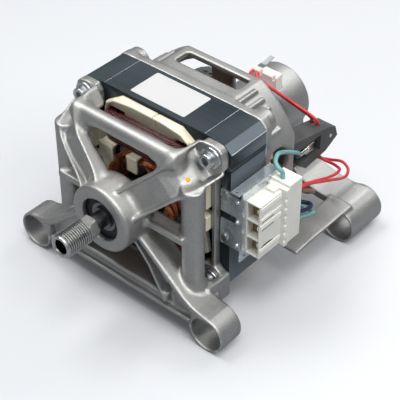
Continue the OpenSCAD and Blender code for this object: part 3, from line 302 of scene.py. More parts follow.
def plastic(name, dark, light, low=0.34, high=0.5, grain=900, strength=0.06):
    p = Paint(name)
    cloud = p.noise(70, 4)
    base = p.ramp(cloud, (0.3, dark), (0.7, light))
    p.colour(p.worn(base, brighter(light, 1.12)))
    p.rough(cloud, low, high)
    p.bump(p.noise(grain, 2), strength, 0.0003)
    return p.mat


def steel(name, dark, light, low=0.18, high=0.32, scale=300, stretch=(1, 1, 1)):
    p = Paint(name, metal=1.0)
    cloud = p.noise(scale, 3, stretch)
    base = p.ramp(cloud, (0.3, dark), (0.7, light))
    p.colour(p.worn(base, brighter(light, 1.15), end=0.60))
    p.rough(cloud, low, high)
    p.bump(p.noise(1200, 2, stretch), 0.05, 0.0002)
    return p.mat


def zinc_sheet(name):
    p = Paint(name, metal=0.75)
    cell = p.node("TexVoronoi", {"Scale": 240})
    p.link(p.coords, cell.inputs["Vector"])
    cloud = p.noise(90, 4)
    base = p.ramp(cloud, (0.3, (0.58, 0.63, 0.67)), (0.7, (0.74, 0.78, 0.81)))
    patch = p.ramp(cell.outputs["Color"], (0.2, (0.82, 0.84, 0.86)), (0.8, (1, 1, 1)))
    p.colour(p.mix(None, base, patch, "MULTIPLY", 0.5))
    p.rough(cloud, 0.20, 0.34)
    p.bump(p.noise(900, 2), 0.05, 0.0003)
    return p.mat


def turned(name, dark, light, rings=700):
    p = Paint(name, metal=1.0)
    lines = p.noise(rings, 2, (0.02, 1, 0.02))
    cloud = p.noise(120, 3)
    base = p.ramp(lines, (0.3, dark), (0.7, light))
    p.colour(p.worn(base, brighter(light, 1.2)))
    p.rough(cloud, 0.20, 0.34)
    p.bump(lines, 0.10, 0.0002)
    return p.mat


def ribbed(name, dark, light, crest, reach):
    """Turned steel with painted shade: near black in the grooves, which lie within reach of the middle, and
    dark round the bore.
    """
    p = Paint(name, metal=1.0)
    cloud = p.noise(90, 3)
    base = p.ramp(cloud, (0.3, dark), (0.7, light))
    # Painted shade: the grooves are coloured near black below the crests.
    depth = p.span(p.radius(), 1.0, 0.0, (crest - 1.1) * MM, (crest - 0.2) * MM)
    groove_shaded = p.mix(depth, base, (0.016, 0.016, 0.015))
    # Painted shade: the ring round the bore, next to the shaft, is coloured dark.
    bore_shade = p.span(p.radius(), 1.0, 0.0, 4.4 * MM, 5.0 * MM)
    smooth = p.mix(bore_shade, base, (0.10, 0.10, 0.10))
    offset = p.node("Math", operation="ABSOLUTE")
    p.link(p.along(), offset.inputs[0])
    p.colour(p.mix(p.span(offset.outputs[0], 0.0, 1.0, (reach - 0.1) * MM, reach * MM), groove_shaded, smooth))
    p.rough(cloud, 0.24, 0.32)
    return p.mat


def wire(name, dark, light, low=0.2, high=0.35, metal=0.0):
    p = Paint(name, metal=metal, Coat_Weight=0.3)
    tint = p.node("Attribute", attribute_name="tint").outputs["Fac"]
    cloud = p.noise(220, 3)
    base = p.ramp(tint, (0.0, dark), (1.0, light))
    p.colour(p.mix(p.span(cloud, 0.0, 0.55), base, dark))
    p.rough(cloud, low, high)
    p.bump(p.noise(1500, 2), 0.06, 0.0002)
    return p.mat


def sleeve(name, dark, light):
    p = Paint(name, Coat_Weight=0.1)
    cloud = p.noise(160, 3)
    p.colour(p.ramp(cloud, (0.3, dark), (0.7, light)))
    p.rough(cloud, 0.32, 0.46)
    p.bump(p.noise(700, 2), 0.08, 0.0003)
    return p.mat


FINISHES = (
    (cast_aluminium, "cast_aluminium"),
    (laminations, "painted_laminations"),
    (plastic, "cream_nylon", (0.73, 0.67, 0.50), (0.81, 0.76, 0.60)),
    (plastic, "ivory_nylon", (0.74, 0.73, 0.66), (0.82, 0.81, 0.75)),
    (wire, "enamelled_wire", (0.040, 0.008, 0.010), (0.17, 0.030, 0.032)),
    (wire, "copper_wire", (0.68, 0.22, 0.09), (0.95, 0.40, 0.19), 0.22, 0.38, 0.7),
    (turned, "commutator_copper", (0.50, 0.25, 0.13), (0.72, 0.40, 0.22)),
    (steel, "zinc_steel", (0.52, 0.54, 0.56), (0.64, 0.66, 0.67), 0.24, 0.34, 60),
    (zinc_sheet, "zinc_sheet"),
    (turned, "turned_steel", (0.40, 0.40, 0.39), (0.52, 0.52, 0.50), 1600),
    (ribbed, "pulley_steel", (0.52, 0.52, 0.50), (0.62, 0.62, 0.60), 7.95, 9.5),
    # bearing_steel is painted far darker than steel, as painted shade inside the hub.
    (steel, "bearing_steel", (0.15, 0.15, 0.155), (0.21, 0.21, 0.215), 0.26, 0.34, 60),
    (steel, "spring_steel", (0.42, 0.42, 0.43), (0.58, 0.58, 0.59)),
    (steel, "cage_steel", (0.44, 0.40, 0.34), (0.60, 0.55, 0.46)),
    (steel, "core_steel", (0.10, 0.10, 0.11), (0.22, 0.22, 0.23), 0.35, 0.5, 60, (0.2, 26, 0.2)),
    (steel, "tin_plate", (0.66, 0.66, 0.64), (0.82, 0.82, 0.80), 0.14, 0.26),
    (steel, "brass", (0.60, 0.44, 0.18), (0.78, 0.60, 0.28), 0.20, 0.34),
    (plastic, "seal_rubber", (0.010, 0.010, 0.011), (0.020, 0.020, 0.022), 0.5, 0.65),
    (plastic, "charcoal_plastic", (0.044, 0.046, 0.047), (0.082, 0.085, 0.086), 0.4, 0.56, 700, 0.12),
    (plastic, "carbon", (0.012, 0.012, 0.012), (0.035, 0.035, 0.035), 0.5, 0.7, 1200, 0.15),
    (plastic, "magnet_ferrite", (0.04, 0.04, 0.04), (0.09, 0.09, 0.09), 0.5, 0.65),
    (sleeve, "red_sleeve", (0.52, 0.020, 0.026), (0.68, 0.040, 0.045)),
    (sleeve, "teal_sleeve", (0.130, 0.320, 0.330), (0.200, 0.430, 0.430)),
    (sleeve, "brown_sleeve", (0.170, 0.070, 0.044), (0.270, 0.120, 0.080)),
    (plastic, "label_paper", (0.45, 0.45, 0.445), (0.50, 0.50, 0.495), 0.5, 0.65, 1400, 0.03),
    (plastic, "paint_mark", (0.92, 0.40, 0.01), (1.0, 0.47, 0.02), 0.4, 0.55),
    # contact_brown is dark partly as painted shade deep in the connector's ways.
    (plastic, "contact_brown", (0.10, 0.060, 0.022), (0.19, 0.120, 0.045), 0.4, 0.6),
    (sleeve, "navy_sleeve", (0.006, 0.013, 0.040), (0.012, 0.026, 0.075)),
)
MATERIALS = {name: maker(name, *values) for maker, name, *values in FINISHES}
for part in frame["record"]["subparts"]:
    mesh = nodes[part["node"]].data
    mesh.materials.clear()
    mesh.materials.append(MATERIALS[part["material_slot"]])


BEVEL_ANGLE = 35


def soften(node, width):
    """Joins the points of a solid's faces and rounds its edges."""
    weld = nodes[node].modifiers.new("weld", "WELD")
    weld.merge_threshold = 0.00001
    bevel = nodes[node].modifiers.new("bevel", "BEVEL")
    bevel.width = width * MM
    bevel.segments = 2
    bevel.limit_method = "ANGLE"
    bevel.angle_limit = math.radians(BEVEL_ANGLE)
    normal = nodes[node].modifiers.new("normal", "WEIGHTED_NORMAL")
    normal.mode = "FACE_AREA"
    normal.weight = 100


for node, width in (
        ("connector_housing", 0.3), ("brush_holder_right", 0.5), ("brush_holder_left", 0.5),
        ("tacho_terminal_block", 0.4), ("coil_frame_rear", 0.4), ("connector_bracket", 0.15),
        ("stator_stack", 0.3)):
    soften(node, width)


# Meshes

def new_object(name, verts, faces, slot, body="stator", smooth=True, tint=None):
    mesh = bpy.data.meshes.new(name)
    verts = np.asarray(verts, dtype=np.float32) * MM
    mesh.from_pydata(verts.tolist(), [], np.asarray(faces).tolist(), shade_flat=not smooth)
    mesh.validate()
    if tint is not None:
        layer = mesh.attributes.new("tint", "FLOAT", "POINT")
        layer.data.foreach_set("value", np.asarray(tint, dtype=np.float32))
    mesh.materials.append(MATERIALS[slot])
    made = add(name, mesh)
    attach(made, body)
    return made


def unit(v):
    return v / np.maximum(np.linalg.norm(v, axis=-1, keepdims=True), 1e-9)


def frames(path, closed=False):
    """Two unit vectors across a path at each of its points, turning as little as they can."""
    if closed:
        head = unit(np.roll(path, -1, 0) - np.roll(path, 1, 0))
    else:
        head = unit(np.gradient(path, axis=0))
    side = np.zeros_like(head)
    first = np.array([0, 0, 1.0]) if abs(head[0][2]) < 0.8 else np.array([1.0, 0, 0])
    for i in range(len(path)):
        first = first - head[i] * np.dot(first, head[i])
        first = first / np.linalg.norm(first)
        side[i] = first
    return side, np.cross(head, side)


def grid(rows, sides, closed):
    """Quads between rings of points, and from the last ring to the first if closed."""
    i, j = np.meshgrid(np.arange(rows if closed else rows - 1), np.arange(sides), indexing="ij")
    n, k = (i + 1) % rows, (j + 1) % sides
    return np.stack([i * sides + j, i * sides + k, n * sides + k, n * sides + j], -1).reshape(-1, 4)


def halves(quads):
    return [quads[:, [0, 1, 2]], quads[:, [0, 2, 3]]]


def capped(rows, sides):
    """Triangles of rings of points in a row, with both ends closed."""
    fan = np.array([(0, k + 1, k) for k in range(1, sides - 1)])
    return np.concatenate([*halves(grid(rows, sides, False)), fan, (rows - 1) * sides + fan[:, ::-1]])


def tube(path, radius, sides, closed):
    """Vertices and faces of a tube along a path."""
    path = np.asarray(path, dtype=float)
    count = len(path)
    side, other = frames(path, closed)
    twist = np.zeros(count)
    if closed:
        gap = math.atan2(np.dot(side[-1], other[0]), np.dot(side[-1], side[0]))
        twist = -gap * np.arange(count) / count
    angle = (2 * math.pi * np.arange(sides) / sides)[None, :] + twist[:, None]
    across = np.cos(angle)[..., None] * side[:, None, :] + np.sin(angle)[..., None] * other[:, None, :]
    faces = grid(count, sides, True) if closed else capped(count, sides)
    return (path[:, None, :] + radius * across).reshape(-1, 3), faces


def wires(name, paths, radius, sides, slot, body, closed=False):
    verts, faces, tint, base = [], [], [], 0
    for path in paths:
        v, f = tube(path, radius, sides, closed)
        verts.append(v)
        faces.append(f + base)
        tint.append(np.full(len(v), rng.random()))
        base += len(v)
    verts, faces, tint = np.concatenate(verts), np.concatenate(faces), np.concatenate(tint)
    return new_object(name, verts, faces, slot, body, True, tint)


# Leads, along the routes of the solids

def lead(name, slot, points, diameter):
    """A bezier lead through points of the solid's route."""
    points = [Vector(p) * MM for p in points]
    data = bpy.data.curves.new(name, "CURVE")
    data.dimensions = "3D"
    data.bevel_depth = diameter / 2 * MM
    data.bevel_resolution = 4
    data.use_fill_caps = True
    data.resolution_u = 6
    spline = data.splines.new("BEZIER")
    spline.bezier_points.add(len(points) - 1)
    for i, (bp, p) in enumerate(zip(spline.bezier_points, points)):
        before, after = points[max(i - 1, 0)], points[min(i + 1, len(points) - 1)]
        way = (after - before).normalized()
        bp.co = p
        bp.handle_left = p - way * (p - before).length / 3
        bp.handle_right = p + way * (after - p).length / 3
    data.materials.append(MATERIALS[slot])
    made = add("look_" + name, data)
    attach(made, "stator")
    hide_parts(name)


lead("tacho_wire_a", "red_sleeve", [
    (-6.8, 175.4, 26.6), (-6.8, 172.6, 26.6), (-4.8, 169.8, 26.8), (-0.6, 168.8, 26.6),
    (10, 169.2, 25), (33, 171.4, 18.4), (46, 173.8, 12.8), (47.5, 174.5, 9), (47.5, 174.5, -9),
    (48.2, 174.8, -14), (53, 176.2, -17.6), (60.5, 177.2, -18.4), (67, 174.6, -17.8),
    (71, 160, -12.4), (73.8, 136, -1), (76, 115.5, 8.6), (76.6, 108.3, 9.6)], 2)
lead("tacho_wire_b", "red_sleeve", [
    (-2.6, 175.4, 26.2), (-2.6, 173.4, 26.2), (-0.8, 171.6, 25.6), (4, 171.3, 24.2),
    (16, 172, 20.6), (37.6, 173.8, 14), (41.8, 174.3, 12), (43, 174.5, 8.6), (43, 174.5, -9),
    (43.6, 174.9, -14.6), (48, 177.2, -18.8), (55.5, 180.8, -19.2), (63.5, 182.6, -18),
    (70, 180, -19.2), (74, 171, -18), (76.4, 152, -8), (79, 124, 7.4), (80.4, 113, 12),
    (80.4, 108.3, 12.4)], 2)
lead("brush_lead_right", "teal_sleeve", [
    (51, 153.5, 0), (51, 150.6, 0), (52.2, 147, 1.4), (55.2, 143.6, 5.2), (59, 139.4, 11),
    (61.4, 131.6, 17.8), (65.4, 109.6, 32), (69, 101.6, 33), (73, 98.6, 31.8), (76, 99.4, 29.2),
    (76.4, 99.8, 25)], 2.8)
lead("brush_lead_left", "teal_sleeve", [
    (-51, 153.5, 0), (-51, 150.6, 0), (-52.2, 147, 1.6), (-55.4, 143.6, 5.6), (-59.4, 138.6, 10.8),
    (-61.4, 132, 15), (-60, 126.4, 17.4), (-51, 121.6, 18), (-47, 121.5, 18)], 2.8)
lead("field_lead_brown", "brown_sleeve", [
    (80, 108.3, 8.6), (80, 114.4, 8.2), (80.4, 121.6, 4.2), (79, 127.8, -0.8), (75.6, 131.8, -5.4),
    (71, 132, -8), (66.4, 129, -5.4), (62.6, 125.2, 1.4), (58.4, 123, 7.6), (51, 123.5, 11.3),
    (47, 123.5, 11.5)], 2.8)
lead("field_lead_navy", "navy_sleeve", [
    (80, 108.3, -5.6), (80, 115, -8.4), (80.2, 122, -10.6), (78.6, 127.6, -12),
    (74.8, 129.4, -13.4), (70.6, 127, -13), (66.4, 123, -9), (62.6, 121, -1.8), (58.6, 120, 3.4),
    (51, 119.1, 6.8), (47, 119, 7)], 2.8)
lead("field_lead_teal", "teal_sleeve", [
    (80, 108.3, -11), (80, 115, -12.6), (80.4, 123, -15.8), (79, 130, -19.2), (75, 133, -21.6),
    (70.6, 131, -21), (66.6, 125.6, -16.4), (63, 120, -8.4), (59.4, 116.9, 0.6), (51, 114.7, 4.4),
    (47, 114.5, 4.5)], 2.8)


# Castings: distance fields with blended joins, turned into meshes

def chaikin(points):
    """A closed outline with its corners cut."""
    p = np.asarray(points, dtype=np.float32)
    q = np.roll(p, -1, 0)
    return np.stack([0.75 * p + 0.25 * q, 0.25 * p + 0.75 * q], 1).reshape(-1, 2)


def outline(u, v, points):
    """Signed distance to a closed outline in the plane of u and v, negative inside."""
    p = np.asarray(points, dtype=np.float32)
    best = np.float32(1e9)
    inside = np.zeros(np.broadcast(u, v).shape, dtype=bool)
    for (ax, ay), (bx, by) in zip(p, np.roll(p, -1, 0)):
        ex, ey = bx - ax, by - ay
        wx, wy = u - ax, v - ay
        t = np.clip((wx * ex + wy * ey) / (ex * ex + ey * ey + 1e-9), 0, 1)
        dx, dy = wx - ex * t, wy - ey * t
        best = np.minimum(best, dx * dx + dy * dy)
        if by != ay:
            cross = ((ay > v) != (by > v)) & (u < ax + (v - ay) * ex / ey)
            inside ^= cross
    return np.where(inside, -np.sqrt(best), np.sqrt(best))


def away(u, v):
    return np.sqrt(u ** 2 + v ** 2)


def both(a, b):
    return away(np.maximum(a, 0), np.maximum(b, 0)) + np.minimum(np.maximum(a, b), 0)


def join(a, b, k):
    h = np.maximum(k - np.abs(a - b), 0) / k
    return np.minimum(a, b) - h * h * k / 4


def cut(a, b, k):
    return -join(-a, b, k)


class Field:
    def __init__(self, low, high, step):
        self.low, self.step = np.array(low, dtype=np.float32), step
        x, y, z = (np.arange(a, b + step, step, dtype=np.float32) for a, b in zip(low, high))
        self.x, self.y, self.z = x[:, None, None], y[None, :, None], z[None, None, :]

    def span(self, axis, a, b):
        return np.abs(axis - (a + b) / 2) - (b - a) / 2

    def block(self, a, b, r=0.8):
        q = [self.span(axis, lo, hi) + r for axis, lo, hi in zip((self.x, self.y, self.z), a, b)]
        far = np.sqrt(sum(np.maximum(v, 0) ** 2 for v in q))
        return far + np.minimum(np.maximum(np.maximum(q[0], q[1]), q[2]), 0) - r

    def between(self, x, y, z, r):
        """A block between two places on each axis, given in either order."""
        return self.block(*zip(*(sorted(pair) for pair in (x, y, z))), r)

    def pull(self, flat, axis, ends, r):
        """A flat shape drawn out along an axis, with its edges rounded."""
        return both(flat + r, self.span(axis, *ends) + r) - r

    def rod_x(self, y, z, radius, ends, r=0.8):
        return self.pull(away(self.y - y, self.z - z) - radius, self.x, ends, r)

    def rod_y(self, x, z, radius, ends, r=0.8):
        return self.pull(away(self.x - x, self.z - z) - radius, self.y, ends, r)

    def rod_z(self, x, y, radius, ends, r=0.8):
        return self.pull(away(self.x - x, self.y - y) - radius, self.z, ends, r)

    def prism_x(self, points, ends, r=0.8):
        return self.pull(outline(self.y, self.z, points), self.x, ends, r)

    def prism_y(self, points, ends, r=0.8):
        return self.pull(outline(self.x, self.z, points), self.y, ends, r)

    def prism_z(self, points, ends, r=0.8):
        return self.pull(outline(self.x, self.y, points), self.z, ends, r)

    def spoke(self, angle):
        """Distance along a spoke at the given angle round the shaft, and off to its side."""
        a = math.radians(angle)
        return self.x * math.cos(a) + self.z * math.sin(a), self.z * math.cos(a) - self.x * math.sin(a)

    def arm(self, angle, points, width, r=0.7):
        along, off = self.spoke(angle)
        return both(outline(along, self.y, points) + r, np.abs(off) - width + r) - r

    def ribs(self, angle, points, apart, half, r):
        """A pair of ribs along a spoke, whose distance from it is given at stations along it."""
        along, off = self.spoke(angle)
        centre = np.interp(along, *zip(*apart)).astype(np.float32)
        return both(outline(along, self.y, points) + r, np.abs(np.abs(off) - centre) - half + r) - r


def skin(field, low, step):
    """Vertices and quads of the surface where a sampled field is zero."""
    inside = field < 0
    ends = (slice(0, -1), slice(1, None))
    total = sum(inside[i, j, k].astype(np.int8) for i in ends for j in ends for k in ends)
    mixed = (total > 0) & (total < 8)
    where = np.argwhere(mixed)
    corner = np.array([(i, j, k) for i in (0, 1) for j in (0, 1) for k in (0, 1)])
    value = np.stack([field[tuple((where + c).T)] for c in corner], 1)
    place, hits = np.zeros((len(where), 3)), np.zeros(len(where))
    for a in range(8):
        for b in range(a + 1, 8):
            if np.abs(corner[a] - corner[b]).sum() != 1:
                continue
            crossed = (value[:, a] < 0) != (value[:, b] < 0)
            t = value[crossed, a] / (value[crossed, a] - value[crossed, b])
            place[crossed] += corner[a] + t[:, None] * (corner[b] - corner[a])
            hits[crossed] += 1
    spot = where + place / hits[:, None]
    number = np.full(mixed.shape, -1, dtype=np.int32)
    number[mixed] = np.arange(len(where))
    quads = []
    for axis in range(3):
        one = np.moveaxis(inside, axis, 0)
        num = np.moveaxis(number, axis, 0)
        step_at = np.argwhere(one[:-1, 1:-1, 1:-1] != one[1:, 1:-1, 1:-1])
        i, j, k = step_at[:, 0], step_at[:, 1] + 1, step_at[:, 2] + 1
        quad = np.stack([num[i, j - 1, k - 1], num[i, j, k - 1], num[i, j, k], num[i, j - 1, k]], 1)
        flip = one[i, j, k] == (axis == 1)
        quad[flip] = quad[flip][:, ::-1]
        quads.append(quad)
    return settle(spot, field) * step + low, np.concatenate(quads)


def settle(spot, field, times=3):
    """Moves points, in cells, on to the field's zero surface along its slope."""
    top = np.array(field.shape) - 2

    def sample(p):
        base = np.clip(np.floor(p).astype(int), 0, top)
        f = p - base
        total = 0
        for c in np.ndindex(2, 2, 2):
            weight = np.prod(np.where(np.array(c) == 1, f, 1 - f), axis=1)
            total = total + weight * field[tuple((base + np.array(c)).T)]
        return total

    for _ in range(times):
        here = sample(spot)
        slope = np.stack([sample(spot + d) - sample(spot - d) for d in np.eye(3) * 0.5], 1)
        shift = slope * (here / np.maximum((slope ** 2).sum(1), 1e-6))[:, None]
        length = np.linalg.norm(shift, axis=1, keepdims=True)
        spot = spot - shift * np.minimum(1, 0.35 / np.maximum(length, 1e-6))
    return spot


def mirrored(field, low):
    """The whole from its right half, whose first samples lie on the middle plane."""
    left = -low[0] - (field.shape[0] - 1) * STEP
    return np.concatenate([field[:0:-1], field], 0), np.array([left, low[1], low[2]])


STEP = 0.8
STACK_FRONT, STACK_REAR = 71.5, 103.5
TOP = 55.4
SPOKE, LOW_SPOKE = 43.0, -40.57
ARM_ROOT = 18.7
RIB_HALF, RIB_EDGE = 0.9, 0.6
BOLT, BOLT_SEAT, BOLT_HOLE_R = (50.5, 47.1), 65.2, 3.05
LUG, LUG_R, LUG_BORE_R = (73.3, -56.9), 13, 11.3
LUG_FRONT = 33.3
COLUMN_X = 51.4
PAST_MIDDLE = -9
HUB_R, CUP_R = 22.7, 22.9
BELL_HALF = (57, 55)
BELL_R, BELL_REAR, BELL_WALL = 62.5, 138.5, 4
SHARP = 0.1


def upper_arms(g, body):
    """Channels from the hub to the bolt pads, with ribs that flare towards the pads."""
    floor = g.arm(SPOKE, chaikin([
        (ARM_ROOT, 35.7), (48, 38.2), (56, 43.7), (60, 52.7), (61.35, 65.2), (61.35, 66.2),
        (55.9, 66.2), (55, 55.7), (50, 47.7), (45, 40.7), (ARM_ROOT, 40.7)]), 9.4)
    ribs = g.ribs(SPOKE, chaikin([
        (ARM_ROOT, 27.4), (23, 29.8), (29, 32.0), (38, 33.8), (50, 36.0), (60, 40.6), (64.5, 46.6),
        (70.5, 64.2), (70.5, 66.2), (55.9, 66.2), (55, 57.5), (50, 49.5), (45, 41.7), (ARM_ROOT, 41.7)]),
        [(0, 9.4), (50, 9.4), (58, 10.2), (66.8, 11.9)], RIB_HALF, RIB_EDGE)
    return join(join(body, floor, 5), ribs, 1.6)


def lower_arms(g, body):
    """Channels from the hub to the feet, with a rib along the upper side and a web down to the beam."""
    floor_side = [(ARM_ROOT, 39), (67.6, 41.5), (70.6, 58), (59.6, 52), (ARM_ROOT, 43)]
    rib_side = [(ARM_ROOT, 33.4), (67.6, 35), (67.6, 50), (ARM_ROOT, 44)]
    ribs = g.ribs(LOW_SPOKE, rib_side, [(0, 6.6), (80, 6.6)], RIB_HALF, RIB_EDGE)
    upper_rib = np.maximum(ribs, -g.spoke(LOW_SPOKE)[1])
    body = join(join(body, g.arm(LOW_SPOKE, floor_side, 7), 5), upper_rib, 1.6)
    web = [(17.5, -14.5), (28.9, -27.8), (38.2, -44.5), (41, -51)]
    web += [(38.6, -51), (36.2, -45), (27.1, -28.8), (16, -15.8)]
    return join(body, g.prism_y(web, (34, 50), RIB_EDGE), 1.4)


def bars(g, body):
    """The bar across the top with its gussets, the side columns and a rib from hub to column."""
    bar_z, bar_end, column_foot = 49.6, 40.4, -46
    gusset = [(bar_end, bar_z), (31.6, 41.4), (31, 43.2), (24.9, 45.6)]
    bar = g.rod_x(48, bar_z, 5.3, (PAST_MIDDLE, bar_end))
    body = join(body, join(bar, g.prism_y(gusset, (45, 52), 1.2), 6), 6)
    flare = g.rod_z(53.6, 51.5, 8.6, (column_foot, -43))
    body = join(body, join(g.rod_z(COLUMN_X, 48, 6.8, (column_foot, 35.1)), flare, 12), 3)
    return join(body, g.block((18, 38, -2.2), (COLUMN_X, 50, 2.2), 1.0), 3.5)


def feet(g, body):
    """Foot plates, the channelled beam between them, the lugs, and straps with pockets under them."""
    plan = [(40, 36), (73.3, 34.3), (73.3, 51.3), (62, 59), (59, 70.5), (40, 70.5)]
    beam = g.block((PAST_MIDDLE, 35, -57.9), (69.3, 53, -45), 1.2)
    for front, rear, low in ((30, 39, -54.9), (42, 58, -64)):
        beam = cut(beam, g.block((PAST_MIDDLE, front, low), (53.3, rear, -48), 1.0), 1.4)
    foot = join(g.prism_z(plan, (-50, -44), 1.2), beam, 2.5)
    foot = join(foot, g.rod_y(*LUG, LUG_R, (LUG_FRONT, 52.3), 0.9), 1.5)
    body = join(body, foot, 2.5)
    pocket = [(43, -54.9), (60.2, -54.9), (60.2, -45), (54, -40), (44, -40), (41.4, -46.5)]
    body = cut(body, g.prism_y(pocket, (20, 39.6), 0.8), 1.0)
    strap = chaikin([
        (20, -7.2), (40, -24.4), (50, -32.9), (56, -37.6), (63, -41.4), (73.3, -43.8), (77, -44.3),
        (77, -48), (61, -45.6), (53, -40.4), (46, -34), (40, -28.4), (17.5, -9.6)])
    return join(body, g.prism_y(strap, (LUG_FRONT, 52), 0.7), 1.0)


def rails(g, body):
    """Upright rails against the stack, with a pad at each bolt."""
    rail = g.block((50.2, 66, -47), (53, STACK_FRONT, 47), 0.8)
    pad = [(40, 36.6), (58.7, 36.6), (58.7, 51), (54.4, 55.3), (40, 55.3)]
    for sign in (1, -1):
        plan = chaikin([(x, sign * z) for x, z in pad])
        rail = join(rail, g.prism_y(plan, (BOLT_SEAT, STACK_FRONT), 0.8), 1.5)
    return join(body, rail, 2.5)


def front_bores(g, body):
    for radius, front, edge in ((14.4, 10, 0.9), (17.52, 26, 0.5)):
        body = cut(body, g.rod_y(0, 0, radius, (front, 60), SHARP), edge)
    body = cut(body, g.rod_y(*LUG, LUG_BORE_R, (20, 80), SHARP), 0.9)
    for sign, front in ((1, 44), (-1, 56.6)):
        body = cut(body, g.rod_y(BOLT[0], sign * BOLT[1], 7.9, (front, BOLT_SEAT), SHARP), 0.8)
        body = cut(body, g.rod_y(BOLT[0], sign * BOLT[1], BOLT_HOLE_R, (55, 80), SHARP), 0.5)
    return body


def front_casting():
    g = Field((0, 20.6, -71.3), (88, 73.2, 57.6), STEP)
    body = g.rod_y(0, 0, HUB_R, (22, 44), 2.4)
    for stage in (upper_arms, lower_arms, bars, feet, rails, front_bores):
        body = stage(g, body)
    foot_wall = g.block((57.2, 50, -57.5), (61.7, 70.8, -39.5), 1.0)
    body = np.maximum(join(body, foot_wall, 2.5), g.y - STACK_FRONT)
    whole, low = mirrored(cut(body, TOP - g.z, 1.0), g.low)
    made = new_object("look_front_bracket", *skin(whole, low, STEP), "cast_aluminium")
    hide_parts("front_bracket")
    return made


def bell(g):
    """The shell behind the stack, with bolt bosses, ribs, windows and a hole in its side."""
    ring = away(g.x, g.z)
    plan = np.maximum(np.maximum(np.abs(g.x) - BELL_HALF[0], np.abs(g.z) - BELL_HALF[1]), ring - BELL_R)
    shell = both(plan + 3, g.span(g.y, 97, BELL_REAR) + 3) - 3
    stack = [(PAST_MIDDLE, 55.5), (40, 55.5), (55, 54.3), (60, 49.3)]
    stack = stack + [(x, -z) for x, z in reversed(stack)]
    shell = join(shell, g.prism_y(stack, (STACK_REAR, 109.5), 0.8), 2.5)
    for sign in (1, -1):
        shell = join(shell, g.rod_y(BOLT[0], sign * BOLT[1], 8.2, (STACK_REAR, 115.5), 1.2), 2)
    for angle in (58, 52, 46, 33):
        a = math.radians(angle)
        out = min((BELL_HALF[0] + 0.4) / math.cos(a), (BELL_HALF[1] + 0.4) / math.sin(a), BELL_R)
        shell = join(shell, g.rod_y(out * math.cos(a), out * math.sin(a), 1.6, (108.5, 127.5), 1.0), 0.8)
    body = cut(shell, np.maximum(plan + BELL_WALL, g.y - (BELL_REAR - BELL_WALL)), 2)
    window = np.maximum(np.maximum(ring - 53.5, 26.9 - ring), np.maximum(18 - np.abs(g.z), np.abs(g.z) - 48))
    window = np.maximum(window, 9 - np.abs(g.x))
    body = cut(body, both(window + 3, g.span(g.y, 128, 145)) - 3, 1.6)
    for sign in (1, -1):
        body = cut(body, g.between((-40, 25), (119, 131.5), (sign * 43, sign * 70), 2), 1.2)
    return cut(body, g.rod_x(119, 12, 12.5, (45, 80), SHARP), 1.6)


def cup_and_wings(g, body):
    """The cup for the rear bearing and the curved wings that carry the rear lugs."""
    body = join(body, g.rod_y(0, 0, CUP_R, (BELL_REAR - BELL_WALL, 199.5), 1.2), 4)
    wing = g.prism_y(chaikin([
        (75, -44), (46, -41.5), (36, -37), (26, -26), (18.9, -12), (13.9, -17), (20, -30),
        (31, -42.5), (44, -47), (75, -49.5)]), (172.1, 198.1), 1.2)
    return join(body, join(wing, g.rod_y(*LUG, LUG_R, (167.1, 201.1), 0.9), 5), 4)


def rear_bores(g, body):
    for radius, ends in ((19.9, (120, 158)), (13, (150, 165)), (16.02, (161, 210)), (19.9, (173, 210))):
        body = cut(body, g.rod_y(0, 0, radius, ends, SHARP), 0.7)
    body = cut(body, g.rod_y(*LUG, LUG_BORE_R, (150, 220), SHARP), 0.9)
    body = cut(body, g.block((14, 140.9, -4.2), (27, 155.1, 4.2), 0.4), 0.6)
    for sign in (1, -1):
        body = cut(body, g.rod_y(36, sign * 15.7, 1.95, (120, 150), SHARP), 0.4)
        body = cut(body, g.rod_y(BOLT[0], sign * BOLT[1], BOLT_HOLE_R, (90, 112.5), SHARP), 0.4)
    return body


def rear_casting():
    g = Field((0, 102.0, -71.3), (88, 201.5, 60), STEP)
    body = rear_bores(g, cup_and_wings(g, bell(g)))
    body = np.maximum(body, STACK_REAR - g.y)
    whole, low = mirrored(cut(body, TOP - g.z, 1.0), g.low)
    g.x = (low[0] + STEP * np.arange(whole.shape[0], dtype=np.float32))[:, None, None]
    tongue = g.prism_x([
        (175.1, -42.8), (175.1, -45), (136.1, -45), (116.1, -46), (116.1, -43.8), (136.1, -42.8)],
        (61.2, 78.5), 0.7)
    tongue = cut(tongue, g.rod_y(*LUG, LUG_BORE_R, (150, 220), SHARP), 0.9)
    whole = join(whole, tongue, 2)
    sensor_seat = g.block((-8.55, 175.25, 14.1), (12.35, 182.15, 40), 0.4)
    whole = cut(whole, sensor_seat, 0.6)
    made = new_object("look_rear_bracket", *skin(whole, low, STEP), "cast_aluminium")
    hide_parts("rear_bracket", "rear_bell", "rear_foot_right", "rear_foot_left")


# Moulded frame in front of the stack

FRAME_FRONT, FRAME_BACK = 67.5, 70.5


